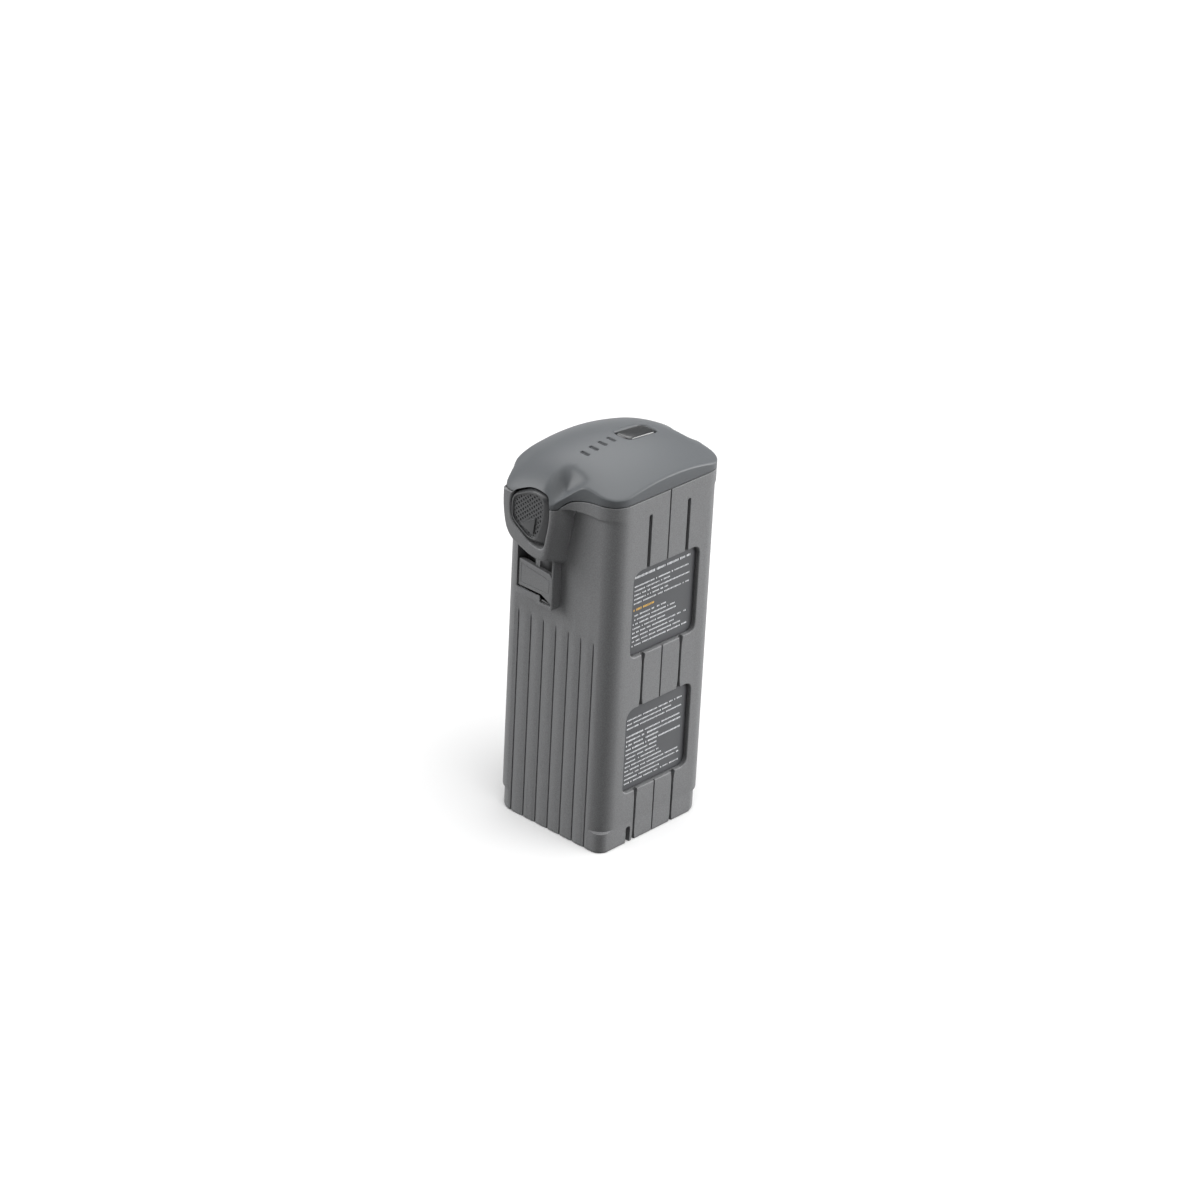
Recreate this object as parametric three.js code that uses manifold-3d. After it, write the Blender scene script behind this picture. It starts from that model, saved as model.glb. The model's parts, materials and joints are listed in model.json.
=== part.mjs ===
// Removable smart battery pack of a folding camera drone, built as the real one is: a deep moulded
// sleeve that holds four pouch cells, a domed cap with a power key and four charge lights, and a
// squeeze latch on each narrow side. Millimetres, +Z up, origin under the middle of the base.
// The wide label face looks to -Y and the two latches to -X and +X.
import * as THREE from "three";
import { mergeVertices } from "three/addons/utils/BufferGeometryUtils.js";
import Module from "manifold-3d";

const wasm = await Module();
wasm.setup();

// ---- Driving dimensions ----------------------------------------------------------------------
// Outer form
const bodyWidth = 46; // X, between the two ribbed sides
const bodyDepth = 44.2; // Y, between label face and back
const totalHeight = 124; // base to the top of the dome
const capRise = 9.6; // from the seam on the wide faces up to the top of the dome
const bodyCorner = 6; // radius of the upright edges
const collarCorner = 7; // the collar turns the corner a little more gently
const keyedCorner = 3; // radius of the one squarer edge at the foot
const footHeight = 7; // the foot is a little smaller, to lead into the bay
const footInset = 0.4;

// Walls and fits
const sideWall = 2;
const faceWall = 3.4; // thicker than the sides, because it carries the label pockets
const capWall = 2.2;
const fit = 0.3; // clearance between two pieces that touch
const cavityCorner = 3;
const floorThickness = 3;

// Collar and latch housings
const collarProud = 1.1; // the band under the cap stands proud of each ribbed side
const collarBand = 4.2; // from the seam down to the collar's lower edge
const collarChamfer = 1.6;
const latchY = 5.8; // the latches sit behind the middle of the side
const bumpProud = 7.3; // how far a latch housing stands off the side
const bumpWidth = 20; // along Y, at the housing's outer face
const housingDrop = 22.2; // from the seam down to the housing's lowest point
const boxProud = 3.5; // catch box under the housing
const boxWidth = 14.7;
const boxHeight = 15.8; // below the housing
const seamDip = 4.4; // the seam runs this much lower across the housings

// Dome
const domeAcross = 166; // drop is x squared over this
const domeFront = 100; // plus y squared over this towards the label face
const domeBack = 80; // or over this towards the back
const shoulderDrop = 6.2; // rounding over the latch housings
const shoulderReach = 2; // how much wider than its drop the rounding is
const shoulderPower = 1.7; // 2 would be an ellipse
const edgeDrop = 0.35; // crease along the wide faces

// Latch
const latchTravel = 2.2;
const armBack = 1.6; // from the side plane out to the latch arm's back
const armWeb = 1;
const gripWidth = 11.6;
const gripRise = 5.1; // from the housing's lowest point up to the grip
const gripHeight = 14.8;
const gripProud = 6.8;
const tongueWidth = 12;
const tongueRise = 2.5; // from the bottom of the catch box up to the tongue
const catchDrop = 3; // below the housing: the ledge that hooks under the bay's catch
const tongueHeel = 1.9; // the tongue's near foot reaches this much lower
const heelWidth = 3.9;
const slotDrop = 0.4; // below the housing: top of the dark slot above the ledge
const springRadius = 1.8;
const springWire = 0.5;
const springTurns = 5;
const springRise = 8.5; // from the grip's foot up to the spring's middle
const springSeat = 17.5; // |x| of the seat that the spring pushes from

// Power key and charge lights
const keyX = 7;
const keyY = -0.7;
const keyLength = 12.8; // opening in the cap
const keyWidth = 6.6;
const keyCorner = 2;
const keyTravel = 0.5;
const keySunk = 0.35;
const lightCount = 4;
const firstLightX = -14.2;
const lightPitch = 3.67;
const lightY = -0.4;
const lightLength = 3.5;
const lightWidth = 1.3;

// Label face
const pocketWidth = 28.4;
const pocketDepth = 2;
const pocketCorner = 3;
const pocketHeight = 28.4;
const upperPocketDrop = 22.8; // from the seam down to the upper pocket
const lowerPocketRise = 17.5; // from the base up to the lower pocket
const labelThickness = 0.5;
const grooveX = 8.3; // the two wide grooves each side of the middle one
const wideGroove = 1.25;
const grooveFlare = 0.5; // the short stretches widen by this on each side at their ends
const thinGroove = 0.5;
const grooveDepth = 1.3;
const wideGrooveDrop = 5.6; // from the seam down to the wide grooves' upper ends
const keySlotX = -10.75; // keying slot at the foot
const keySlotWidth = 1.9;
const keySlotHeight = 5.5;
const keySlotDepth = 1.6;

// Ribbed sides
const ribCount = 7;
const ribPitch = 5.06;
const ribDrop = 4.4; // from the catch box down to the ribs' upper ends
const ribFade = 7; // the ribs fade out over this length
const fluteDepth = 0.35;
const ribGroove = 0.4;
const ribGrooveDepth = 0.5;
const ribRidge = 0.56; // the ridge is this share of a pitch before each groove

// Cells and what carries them
const cellCount = 4;
const cellBottom = 17.3;
const cellSideRoom = 1; // each side of the cells, where the leads run
const stackRoom = 0.85; // in front of the stack of cells and behind it
const cellHeadroom = 9.5; // between the cells and the main board
const padThickness = 0.5;
const tabWidth = 8;
const tabThickness = 0.4;
const tabHeight = 3.6;
const tabX = 9.2;
const frameThickness = 2;
const frameRoom = 0.9; // between the frames and the sleeve
const boardRoom = 0.5; // between the main board and the cap's skirt
const boardThickness = 1.2;
const boardDrop = 4.1; // from the seam down to the main board
const postX = 16;
const postY = 12;
const postSize = 4.6;
const screwShank = 0.95;
const screwHead = 1.9;
const screwHeadHeight = 1.2;
const screwLength = 6;

// Connector in the base
const wellWidth = 26.4;
const wellDepth = 8.8;
const wellWall = 1.6;
const wellHeight = 7; // free depth under the contact block
const blockHeight = 5;
const blockFlange = 1;
const bladeCount = 6;
const bladePitch = 4;
const bladeThickness = 0.8;
const bladeWidth = 5.6;
const connectorBoardThickness = 1.2;

// ---- Values that follow from them ------------------------------------------------------------
const sideX = bodyWidth / 2;
const faceY = bodyDepth / 2;
const seamHeight = totalHeight - capRise;
const collarBottom = seamHeight - collarBand;
const bumpTip = seamHeight - housingDrop;
const boxBottom = bumpTip - boxHeight;
const latchSeam = seamHeight - seamDip;
const gripBottom = bumpTip + gripRise;
const tongueBottom = boxBottom + tongueRise;
const catchHeight = bumpTip - catchDrop;
const slotTop = bumpTip - slotDrop;
const springHeight = gripBottom + springRise;
const upperPocket = [seamHeight - upperPocketDrop - pocketHeight, seamHeight - upperPocketDrop];
const lowerPocket = [lowerPocketRise, lowerPocketRise + pocketHeight];
const wideGrooveTop = seamHeight - wideGrooveDrop;
const ribTop = boxBottom - ribDrop;
const boardBottom = seamHeight - boardDrop;
const cavityX = sideX - sideWall;
const cavityY = faceY - faceWall;
const collarX = sideX + collarProud;
const bumpX = sideX + bumpProud;
const boxX = sideX + boxProud;
const skirtBottom = seamHeight - 6.4;
const skirtWall = 1.5;
const skirtX = cavityX - fit;
const skirtY = cavityY - fit;
const capCavityX = skirtX - skirtWall;
const capCavityY = skirtY - skirtWall;
const pocketFloorX = sideX + armBack - latchTravel - fit; // the latch arm's way in ends here
const boardTop = boardBottom + boardThickness;
const blockBottom = wellHeight + fit;
const blockTop = blockBottom + blockHeight;
const flangeTop = blockTop + fit + blockFlange;
const connectorBoardBottom = flangeTop + fit;
const connectorBoardTop = connectorBoardBottom + connectorBoardThickness;
const lowerFrameTop = cellBottom - fit;
const cellTop = boardBottom - cellHeadroom;
const cellWidth = 2 * (cavityX - cellSideRoom);
const padSpace = padThickness + 2 * fit;
const cellThickness = (2 * (cavityY - stackRoom) - (cellCount - 1) * padSpace) / cellCount;
const upperFrameBottom = cellTop + fit;
const upperFrameTop = upperFrameBottom + frameThickness;

// ---- Finishes --------------------------------------------------------------------------------
const finish = (color, roughness, metalness = 0) =>
  new THREE.MeshStandardMaterial({ color, roughness, metalness });
const shellFinish = () => finish(0x5b5e61, 0.62);
const capFinish = () => finish(0x74787b, 0.55);
const gripFinish = () => finish(0x3c3e40, 0.7);
const keyFinish = () => finish(0x2c2e30, 0.3);
const labelFinish = () => finish(0x3f4245, 0.5);
const blackFinish = () => finish(0x1d1e1f, 0.6);
const lensFinish = () => finish(0x232527, 0.25);
const foilFinish = () => finish(0xb9bcc0, 0.35, 0.8);
const foamFinish = () => finish(0x303030, 0.95);
const boardFinish = () => finish(0x1f4d38, 0.5);
const chipFinish = () => finish(0x17181a, 0.4);
const steelFinish = () => finish(0xa7abb0, 0.3, 1);
const nickelFinish = () => finish(0xc2bfb4, 0.3, 1);
const goldFinish = () => finish(0xc9a24b, 0.3, 1);
const flexFinish = () => finish(0xa8672c, 0.45);

// ---- Geometry helpers ------------------------------------------------------------------------
// A closed three.js geometry as a solid that can be joined and cut.
function solid(geometry) {
  const loose = geometry.index ? geometry.toNonIndexed() : geometry;
  const bare = new THREE.BufferGeometry();
  bare.setAttribute("position", loose.getAttribute("position"));
  const merged = mergeVertices(bare, 1e-4);
  const corners = merged.index.array;
  const triVerts = [];
  for (let i = 0; i < corners.length; i += 3) {
    const [a, b, c] = [corners[i], corners[i + 1], corners[i + 2]];
    if (a !== b && b !== c && c !== a) {
      triVerts.push(a, b, c);
    }
  }
  return new wasm.Manifold(
    new wasm.Mesh({
      numProp: 3,
      vertProperties: merged.attributes.position.array,
      triVerts: new Uint32Array(triVerts),
    }),
  );
}

function geometryOf(made) {
  const { vertProperties, triVerts } = made.getMesh();
  const geometry = new THREE.BufferGeometry();
  geometry.setAttribute("position", new THREE.BufferAttribute(vertProperties, 3));
  geometry.setIndex(new THREE.BufferAttribute(triVerts, 1));
  const flat = geometry.toNonIndexed();
  flat.computeVertexNormals();
  return flat;
}

// The same form on the -X side.
function mirrored(geometry) {
  const copy = geometry.index ? geometry.toNonIndexed() : geometry.clone();
  const at = copy.getAttribute("position");
  for (let i = 0; i < at.count; i += 3) {
    for (const k of [0, 1, 2]) {
      at.setX(i + k, -at.getX(i + k));
    }
    const [x, y, z] = [at.getX(i), at.getY(i), at.getZ(i)];
    at.setXYZ(i, at.getX(i + 1), at.getY(i + 1), at.getZ(i + 1));
    at.setXYZ(i + 1, x, y, z);
  }
  return copy;
}

function box(x0, x1, y0, y1, z0, z1) {
  return new THREE.BoxGeometry(x1 - x0, y1 - y0, z1 - z0).translate(
    (x0 + x1) / 2,
    (y0 + y1) / 2,
    (z0 + z1) / 2,
  );
}

function extruded(shape, length, curveSegments = 3) {
  return new THREE.ExtrudeGeometry(shape, { depth: length, bevelEnabled: false, curveSegments });
}

// A shape drawn in (y, z), from x0 to x1.
function alongX(shape, x0, x1, curveSegments) {
  const turn = new THREE.Matrix4().makeBasis(
    new THREE.Vector3(0, 1, 0),
    new THREE.Vector3(0, 0, 1),
    new THREE.Vector3(1, 0, 0),
  );
  return extruded(shape, x1 - x0, curveSegments).applyMatrix4(turn).translate(x0, 0, 0);
}

// A shape drawn in (x, z), from y0 to y1.
function alongY(shape, y0, y1, curveSegments) {
  const turn = new THREE.Matrix4().makeBasis(
    new THREE.Vector3(1, 0, 0),
    new THREE.Vector3(0, 0, 1),
    new THREE.Vector3(0, -1, 0),
  );
  return extruded(shape, y1 - y0, curveSegments).applyMatrix4(turn).translate(0, y1, 0);
}

// A shape drawn in (x, y), from z0 to z1.
function alongZ(shape, z0, z1, curveSegments) {
  return extruded(shape, z1 - z0, curveSegments).translate(0, 0, z0);
}

// A closed outline with rounded corners; each corner is [x, y, radius].
function outline(corners) {
  const shape = new THREE.Shape();
  corners.forEach(([x, y, radius], i) => {
    const here = new THREE.Vector2(x, y);
    const before = corners[(i + corners.length - 1) % corners.length];
    const after = corners[(i + 1) % corners.length];
    const pointTowards = ([px, py]) =>
      new THREE.Vector2(px, py).sub(here).setLength(radius).add(here);
    const start = radius ? pointTowards(before) : here;
    if (i === 0) {
      shape.moveTo(start.x, start.y);
    } else {
      shape.lineTo(start.x, start.y);
    }
    if (radius) {
      const end = pointTowards(after);
      shape.quadraticCurveTo(x, y, end.x, end.y);
    }
  });
  shape.closePath();
  return shape;
}

function rectangle(x0, x1, y0, y1, radius = 0) {
  return outline([
    [x0, y0, radius],
    [x1, y0, radius],
    [x1, y1, radius],
    [x0, y1, radius],
  ]);
}

// A body through a run of rings, each a list of points in the same order, closed at both ends.
function loft(rings) {
  const middle = (ring) =>
    ring.reduce((sum, p) => sum.add(p), new THREE.Vector3()).divideScalar(ring.length);
  const count = rings[0].length;
  const points = [];
  rings.forEach((ring, k) => {
    for (let i = 0; i < count; i++) {
      const j = (i + 1) % count;
      const next = rings[k + 1];
      if (next) {
        points.push(ring[i], ring[j], next[j], ring[i], next[j], next[i]);
      } else {
        points.push(middle(ring), ring[i], ring[j]);
      }
      if (k === 0) {
        points.push(middle(ring), ring[j], ring[i]);
      }
    }
  });
  return new THREE.BufferGeometry().setFromPoints(points);
}

const model = new THREE.Group();

function piece(name, geometry, material) {
  const mesh = new THREE.Mesh(geometry, material);
  mesh.name = name;
  model.add(mesh);
}

const smooth = (t) => THREE.MathUtils.smoothstep(t, 0, 1);

// ---- Outer form shared by sleeve and cap -------------------------------------------------------
const bumpNear = latchY + 0.4 - bumpWidth / 2;
const bumpFar = bumpNear + bumpWidth;

// Half of the cap's plan, from the middle of the label face round +X to the middle of the back.
function halfPlan() {
  const straight = collarX - collarCorner;
  const side = faceY - collarCorner;
  const path = new THREE.Path();
  path.moveTo(0, -faceY);
  for (const share of [0.25, 0.5, 0.75, 1]) {
    path.lineTo(straight * share, -faceY);
  }
  path.absarc(straight, -side, collarCorner, -Math.PI / 2, 0, false);
  path.bezierCurveTo(collarX, bumpNear - 3, bumpX - 3.6, bumpNear - 1, bumpX - 0.9, bumpNear + 0.4);
  path.quadraticCurveTo(bumpX - 0.1, bumpNear + 0.9, bumpX, bumpNear + 2.4);
  path.lineTo(bumpX, latchY);
  path.quadraticCurveTo(bumpX, bumpFar - 4, bumpX - 0.8, bumpFar - 1);
  path.quadraticCurveTo(bumpX - 1.6, bumpFar + 1.2, bumpX - 4, bumpFar + 2);
  const turn = Math.PI * 0.28;
  const onCorner = [
    straight + collarCorner * Math.cos(turn),
    side + collarCorner * Math.sin(turn),
  ];
  path.quadraticCurveTo(bumpX - 6, bumpFar + 2.6, ...onCorner);
  path.absarc(straight, side, collarCorner, turn, Math.PI / 2, false);
  for (const share of [0.66, 0.33, 0]) {
    path.lineTo(straight * share, faceY);
  }
  return path.getPoints(4);
}

function plan() {
  const half = halfPlan();
  const other = half
    .slice(1, -1)
    .reverse()
    .map((p) => new THREE.Vector2(-p.x, p.y));
  return [...half, ...other];
}

// Height of the dome before its shoulders are rounded.
function dome(x, y) {
  return totalHeight - (x * x) / domeAcross - (y * y) / (y < 0 ? domeFront : domeBack);
}

// The shoulder is a crease on the wide faces and grows into a full rounding over the latches.
function shoulder(p) {
  const towardsLatch = smooth(Math.min((p.y + faceY - 4.5) / 19, (faceY - p.y) / 8));
  const onSide = smooth((Math.abs(p.x) - (sideX - 7)) / 7);
  return edgeDrop + (shoulderDrop - edgeDrop) * towardsLatch * onSide;
}

// The block under the dome, lowered for the inside of the cap's wall. Steps place the shoulder's rings.
function domedBlock(bottom, lowered, steps) {
  const loop = plan();
  const base = loop.map((p) => new THREE.Vector3(p.x, p.y, bottom));
  const rounded = steps.map((step) =>
    loop.map((p) => {
      const drop = shoulder(p);
      const q = p.clone().setLength(p.length() - step * drop * shoulderReach);
      const fall = drop * (1 - (1 - (1 - step) ** shoulderPower) ** (1 / shoulderPower));
      return new THREE.Vector3(q.x, q.y, dome(q.x, q.y) - fall - lowered);
    }),
  );
  const inner = [0.6, 0.25].map((share) =>
    loop.map((p) => {
      const q = p.clone().setLength((p.length() - shoulder(p) * shoulderReach) * share);
      return new THREE.Vector3(q.x, q.y, dome(q.x, q.y) - lowered);
    }),
  );
  return loft([base, ...rounded, ...inner]);
}

// Everything below the seam; the seam dips across the latches. Raised is half of the seam's gap.
function belowSeam(raised) {
  const reach = bumpX + 10;
  const top = seamHeight + raised;
  const dip = latchSeam + raised;
  const shape = new THREE.Shape();
  shape.moveTo(-reach, -10);
  shape.lineTo(reach, -10);
  shape.lineTo(reach, top);
  shape.lineTo(faceY - 1.6, top);
  shape.quadraticCurveTo(bumpFar + 2, top - 1.6, bumpFar, dip);
  shape.lineTo(bumpNear, dip);
  shape.quadraticCurveTo(bumpNear - 1.2, top - 1.9, bumpNear - 4, top - 1.2);
  shape.quadraticCurveTo(bumpNear - 8, top - 0.2, bumpNear - 12, top);
  shape.lineTo(-reach, top);
  shape.closePath();
  return solid(alongX(shape, -reach, reach, 4));
}

// Outline of the latch housing's lower part in (y, z), grown by a draft.
function bumpLoop(grow) {
  const top = collarBottom + 5;
  const shape = outline([
    [bumpNear - grow, top, 0.5],
    [bumpNear + 0.3 - grow, collarBottom - 2, 4],
    [bumpNear + 4.4 - grow, bumpTip - grow, 2],
    [bumpNear + 9.5, bumpTip + 0.1 - grow, 3],
    [bumpFar - 1.4 + grow * 0.7, bumpTip + 3.4 - grow * 0.8, 4.5],
    [bumpFar + grow, collarBottom - 6, 4],
    [bumpFar + grow, top, 0.5],
  ]);
  return shape.getPoints(3);
}

function latchHousing() {
  const sections = [
    [sideX - 2, 2.4],
    [sideX + 1, 1.4],
    [sideX + 4, 0.5],
    [bumpX - 1.2, 0],
    [bumpX - 0.35, -0.45],
    [bumpX, -1.4],
  ];
  return loft(
    sections.map(([x, grow]) => bumpLoop(grow).map((p) => new THREE.Vector3(x, p.x, p.y))),
  );
}

// ---- Latch: outlines shared by the grip, its arm and the openings they move in -----------------
const gripNear = latchY + 1.3 - gripWidth / 2;
const gripFar = gripNear + gripWidth;
const gripTop = gripBottom + gripHeight;

function gripOutline(grow) {
  return outline([
    [gripNear - grow, gripTop - 1.6 + grow, 1.6],
    [gripNear + 0.1 - grow, gripBottom + 7, 2.4],
    [gripNear + 2.2 - grow, gripBottom - grow, 1.6],
    [gripFar - 1.4 + grow, gripBottom + 1.9 - grow, 1.8],
    [gripFar + grow, gripBottom + 5, 1.6],
    [gripFar + grow, gripTop - 3.4, 1.6],
    [gripFar - 3 + grow, gripTop - 1.2 + grow, 1.6],
    [gripNear + 3.4, gripTop + grow, 1.6],
  ]);
}

// The finger scoop's rim, wider than the grip on the near side and above.
function scoopOutline() {
  return outline([
    [gripNear - 2.6, gripTop + 1.6, 1.6],
    [gripNear - 2.6, gripBottom + 8, 2.4],
    [gripNear + 0.4, gripBottom - 1.3, 1.6],
    [gripFar - 1 + fit, gripBottom + 1.2, 1.8],
    [gripFar + 0.2 + fit, gripBottom + 4.6, 1.6],
    [gripFar + 0.2 + fit, gripTop - 2.6, 1.6],
    [gripFar - 2.4, gripTop + 0.8, 1.6],
    [gripNear + 2.4, gripTop + 2.7, 1.6],
  ]);
}

const armX = sideX + armBack;
const armNear = latchY - 0.3 - tongueWidth / 2;
const armFar = armNear + tongueWidth;

function tongueOutline(grow) {
  return outline([
    [armNear - grow, catchHeight - 2.2, 0],
    [armNear - grow, tongueBottom - tongueHeel - grow, 0],
    [armNear + heelWidth + grow, tongueBottom - tongueHeel - grow, 0],
    [armNear + heelWidth + grow, tongueBottom - grow, 0],
    [armFar + grow, tongueBottom - grow, 0],
    [armFar + grow, catchHeight, 0],
    [armNear + 2.2, catchHeight, 0],
  ]);
}

// The hollow that a latch moves in, cut from the sleeve and from the cap.
function latchHollow() {
  const inner = gripOutline(fit).getPoints(3);
  const outer = scoopOutline().getPoints(3);
  const at = (points, x) => points.map((p) => new THREE.Vector3(x, p.x, p.y));
  const scoop = loft([
    at(inner, pocketFloorX),
    at(inner, bumpX - 2.6),
    at(outer, bumpX - 0.2),
    at(outer, bumpX + 1),
  ]);
  const armWay = box(
    pocketFloorX,
    armX + armWeb + fit,
    armNear - fit,
    armFar + fit,
    catchHeight - 1,
    gripBottom + 6,
  );
  const tongueWay = alongX(tongueOutline(fit), pocketFloorX, bumpX);
  const slot = box(pocketFloorX, bumpX, armNear - fit, armFar + fit, catchHeight - 2.2, slotTop);
  return solid(scoop).add(solid(armWay)).add(solid(tongueWay)).add(solid(slot));
}

// ---- Sleeve ------------------------------------------------------------------------------------
// Rings of the cap's plan, drawn in to the body below the collar and to the foot at the bottom.
function sleeveOutside() {
  const loop = plan();
  const cornerX = sideX - bodyCorner;
  const cornerY = faceY - bodyCorner;
  // The body's half width at a depth, which narrows round its corners.
  const bodyHalf = (y) =>
    cornerX + Math.sqrt(Math.max(bodyCorner ** 2 - Math.max(Math.abs(y) - cornerY, 0) ** 2, 0));
  const bodyPoint = (p) => {
    const straight = collarX - collarCorner;
    const x = Math.abs(p.x) <= straight ? (Math.abs(p.x) * cornerX) / straight : bodyHalf(p.y);
    return new THREE.Vector2(Math.sign(p.x) * x, p.y);
  };
  const footPoint = (p) => {
    const q = bodyPoint(p);
    if (q.x < -cornerX - 1e-6 && q.y < -cornerY) {
      const turn = keyedCorner / bodyCorner;
      q.x = -sideX + keyedCorner + (q.x + cornerX) * turn;
      q.y = -faceY + keyedCorner + (q.y + cornerY) * turn;
    }
    return q.multiplyScalar(1 - footInset / faceY);
  };
  const ring = (place, z) =>
    loop.map((p) => {
      const q = place(p);
      return new THREE.Vector3(q.x, q.y, z);
    });
  return loft([
    ring(footPoint, 0),
    ring(footPoint, footHeight - footInset),
    ring(bodyPoint, footHeight),
    ring(bodyPoint, collarBottom - collarChamfer),
    ring((p) => p, collarBottom),
    ring((p) => p, seamHeight + 4),
  ]);
}

function catchBox() {
  const near = (armNear + armFar - boxWidth) / 2 - 0.15;
  const far = near + boxWidth;
  const lowNear = boxBottom - 0.9;
  const shape = outline([
    [near, lowNear, 0.6],
    [near + heelWidth + 2.4, lowNear, 0],
    [near + heelWidth + 2.4, boxBottom, 0],
    [far, boxBottom, 0.6],
    [far, bumpTip + 6, 0.6],
    [near, bumpTip + 6, 0.6],
  ]);
  return alongX(shape, sideX - 1, boxX);
}

// One rib groove: a wide shallow flute with a narrow groove at its bottom, fading out at the top.
function ribCut(y) {
  const wedge = (nearY, farY, depth) => {
    const ring = (z, deep) => [
      new THREE.Vector3(sideX + 0.5, nearY, z),
      new THREE.Vector3(sideX - deep, y, z),
      new THREE.Vector3(sideX + 0.5, farY, z),
    ].reverse();
    return solid(loft([ring(-1, depth), ring(ribTop - ribFade, depth), ring(ribTop, -0.4)]));
  };
  const side = (span, depth) => (span * (depth + 0.5)) / depth;
  const flute = wedge(
    y - side(ribPitch * ribRidge, fluteDepth),
    y + side(ribPitch * (1 - ribRidge), fluteDepth),
    fluteDepth,
  );
  const groove = wedge(y - ribGroove, y + ribGroove, fluteDepth + ribGrooveDepth);
  return { flute, groove };
}

// A groove in a wide face, drawn in (x, z); a flare widens its two ends.
function faceGroove(x, width, z0, z1, flare = 0) {
  const half = width / 2;
  const wide = half + flare;
  const reach = 3.5;
  return outline([
    [x - wide, z0, wide * 0.8],
    [x + wide, z0, wide * 0.8],
    [x + half, z0 + reach, 0],
    [x + half, z1 - reach, 0],
    [x + wide, z1, wide * 0.8],
    [x - wide, z1, wide * 0.8],
    [x - half, z1 - reach, 0],
    [x - half, z0 + reach, 0],
  ]);
}

function pocket([z0, z1], inset) {
  const half = pocketWidth / 2 - inset;
  return outline([
    [-half, z0 + inset, pocketCorner],
    [half, z0 + inset, pocketCorner],
    [half, z1 - inset, pocketCorner],
    [-half, z1 - inset, pocketCorner + 1],
  ]);
}

function faceCuts() {
  const cuts = [];
  const cutFront = (shape, depth) => cuts.push(solid(alongY(shape, -faceY - 1, -faceY + depth)));
  const cutBack = (shape, depth) => cuts.push(solid(alongY(shape, faceY - depth, faceY + 1)));
  for (const ends of [upperPocket, lowerPocket]) {
    cutFront(pocket(ends, 0), pocketDepth);
  }
  const stretches = [
    [lowerPocket[1], upperPocket[0]],
    [-1, lowerPocket[0]],
  ];
  for (const [z0, z1] of stretches) {
    for (const x of [-grooveX, grooveX]) {
      cutFront(faceGroove(x, wideGroove * 0.65, z0 - 1, z1 + 1, grooveFlare), grooveDepth);
    }
    cutFront(faceGroove(0, thinGroove, z0 - 1, z1 + 1), grooveDepth / 2);
  }
  for (const x of [-grooveX, grooveX]) {
    cutFront(faceGroove(x, wideGroove, upperPocket[1] - 1, wideGrooveTop), grooveDepth);
    cutBack(faceGroove(x, wideGroove, -1, wideGrooveTop), grooveDepth);
  }
  cutFront(faceGroove(0, thinGroove, upperPocket[1] - 1, seamHeight + 1), grooveDepth / 2);
  cutBack(faceGroove(0, thinGroove, -1, seamHeight + 1), grooveDepth / 2);
  const slotHalf = keySlotWidth / 2;
  cutFront(rectangle(keySlotX - slotHalf, keySlotX + slotHalf, -1, keySlotHeight), keySlotDepth);
  return cuts;
}

function outerShell() {
  let shell = solid(sleeveOutside());
  for (const form of [latchHousing(), catchBox()]) {
    shell = shell.add(solid(form)).add(solid(mirrored(form)));
  }
  shell = shell.intersect(belowSeam(-fit / 2));
  const cavity = rectangle(-cavityX, cavityX, -cavityY, cavityY, cavityCorner);
  shell = shell.subtract(solid(alongZ(cavity, floorThickness, totalHeight)));
  const wellX = wellWidth / 2;
  const wellY = wellDepth / 2;
  const well = box(
    -wellX - wellWall,
    wellX + wellWall,
    -wellY - wellWall,
    wellY + wellWall,
    floorThickness / 2,
    blockTop,
  );
  shell = shell.add(solid(well));
  shell = shell.subtract(solid(box(-wellX, wellX, -wellY, wellY, -1, blockTop + 1)));
  const hollow = latchHollow();
  const springWay = new THREE.CylinderGeometry(springRadius + 0.8, springRadius + 0.8, 8, 12)
    .rotateZ(Math.PI / 2)
    .translate(sideX - 1, latchY, springHeight);
  for (const cut of [geometryOf(hollow), springWay]) {
    shell = shell.subtract(solid(cut)).subtract(solid(mirrored(cut)));
  }
  for (const cut of faceCuts()) {
    shell = shell.subtract(cut);
  }
  for (let i = 0; i < ribCount; i++) {
    const { flute, groove } = ribCut((i - (ribCount - 1) / 2) * ribPitch);
    for (const cut of [flute, groove]) {
      shell = shell.subtract(cut).subtract(solid(mirrored(geometryOf(cut))));
    }
  }
  return geometryOf(shell);
}

piece("outer_shell", outerShell(), shellFinish());

// ---- Cap, key and light guide ------------------------------------------------------------------
const lightX = (i) => firstLightX + i * lightPitch;
const keyOpening = (grow) =>
  rectangle(
    keyX - keyLength / 2 - grow,
    keyX + keyLength / 2 + grow,
    keyY - keyWidth / 2 - grow,
    keyY + keyWidth / 2 + grow,
    keyCorner + grow / 2,
  );
const keyFlangeTop = dome(keyX + keyLength / 2 + 1, keyY - keyWidth / 2 - 1) - capWall - fit;

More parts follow.
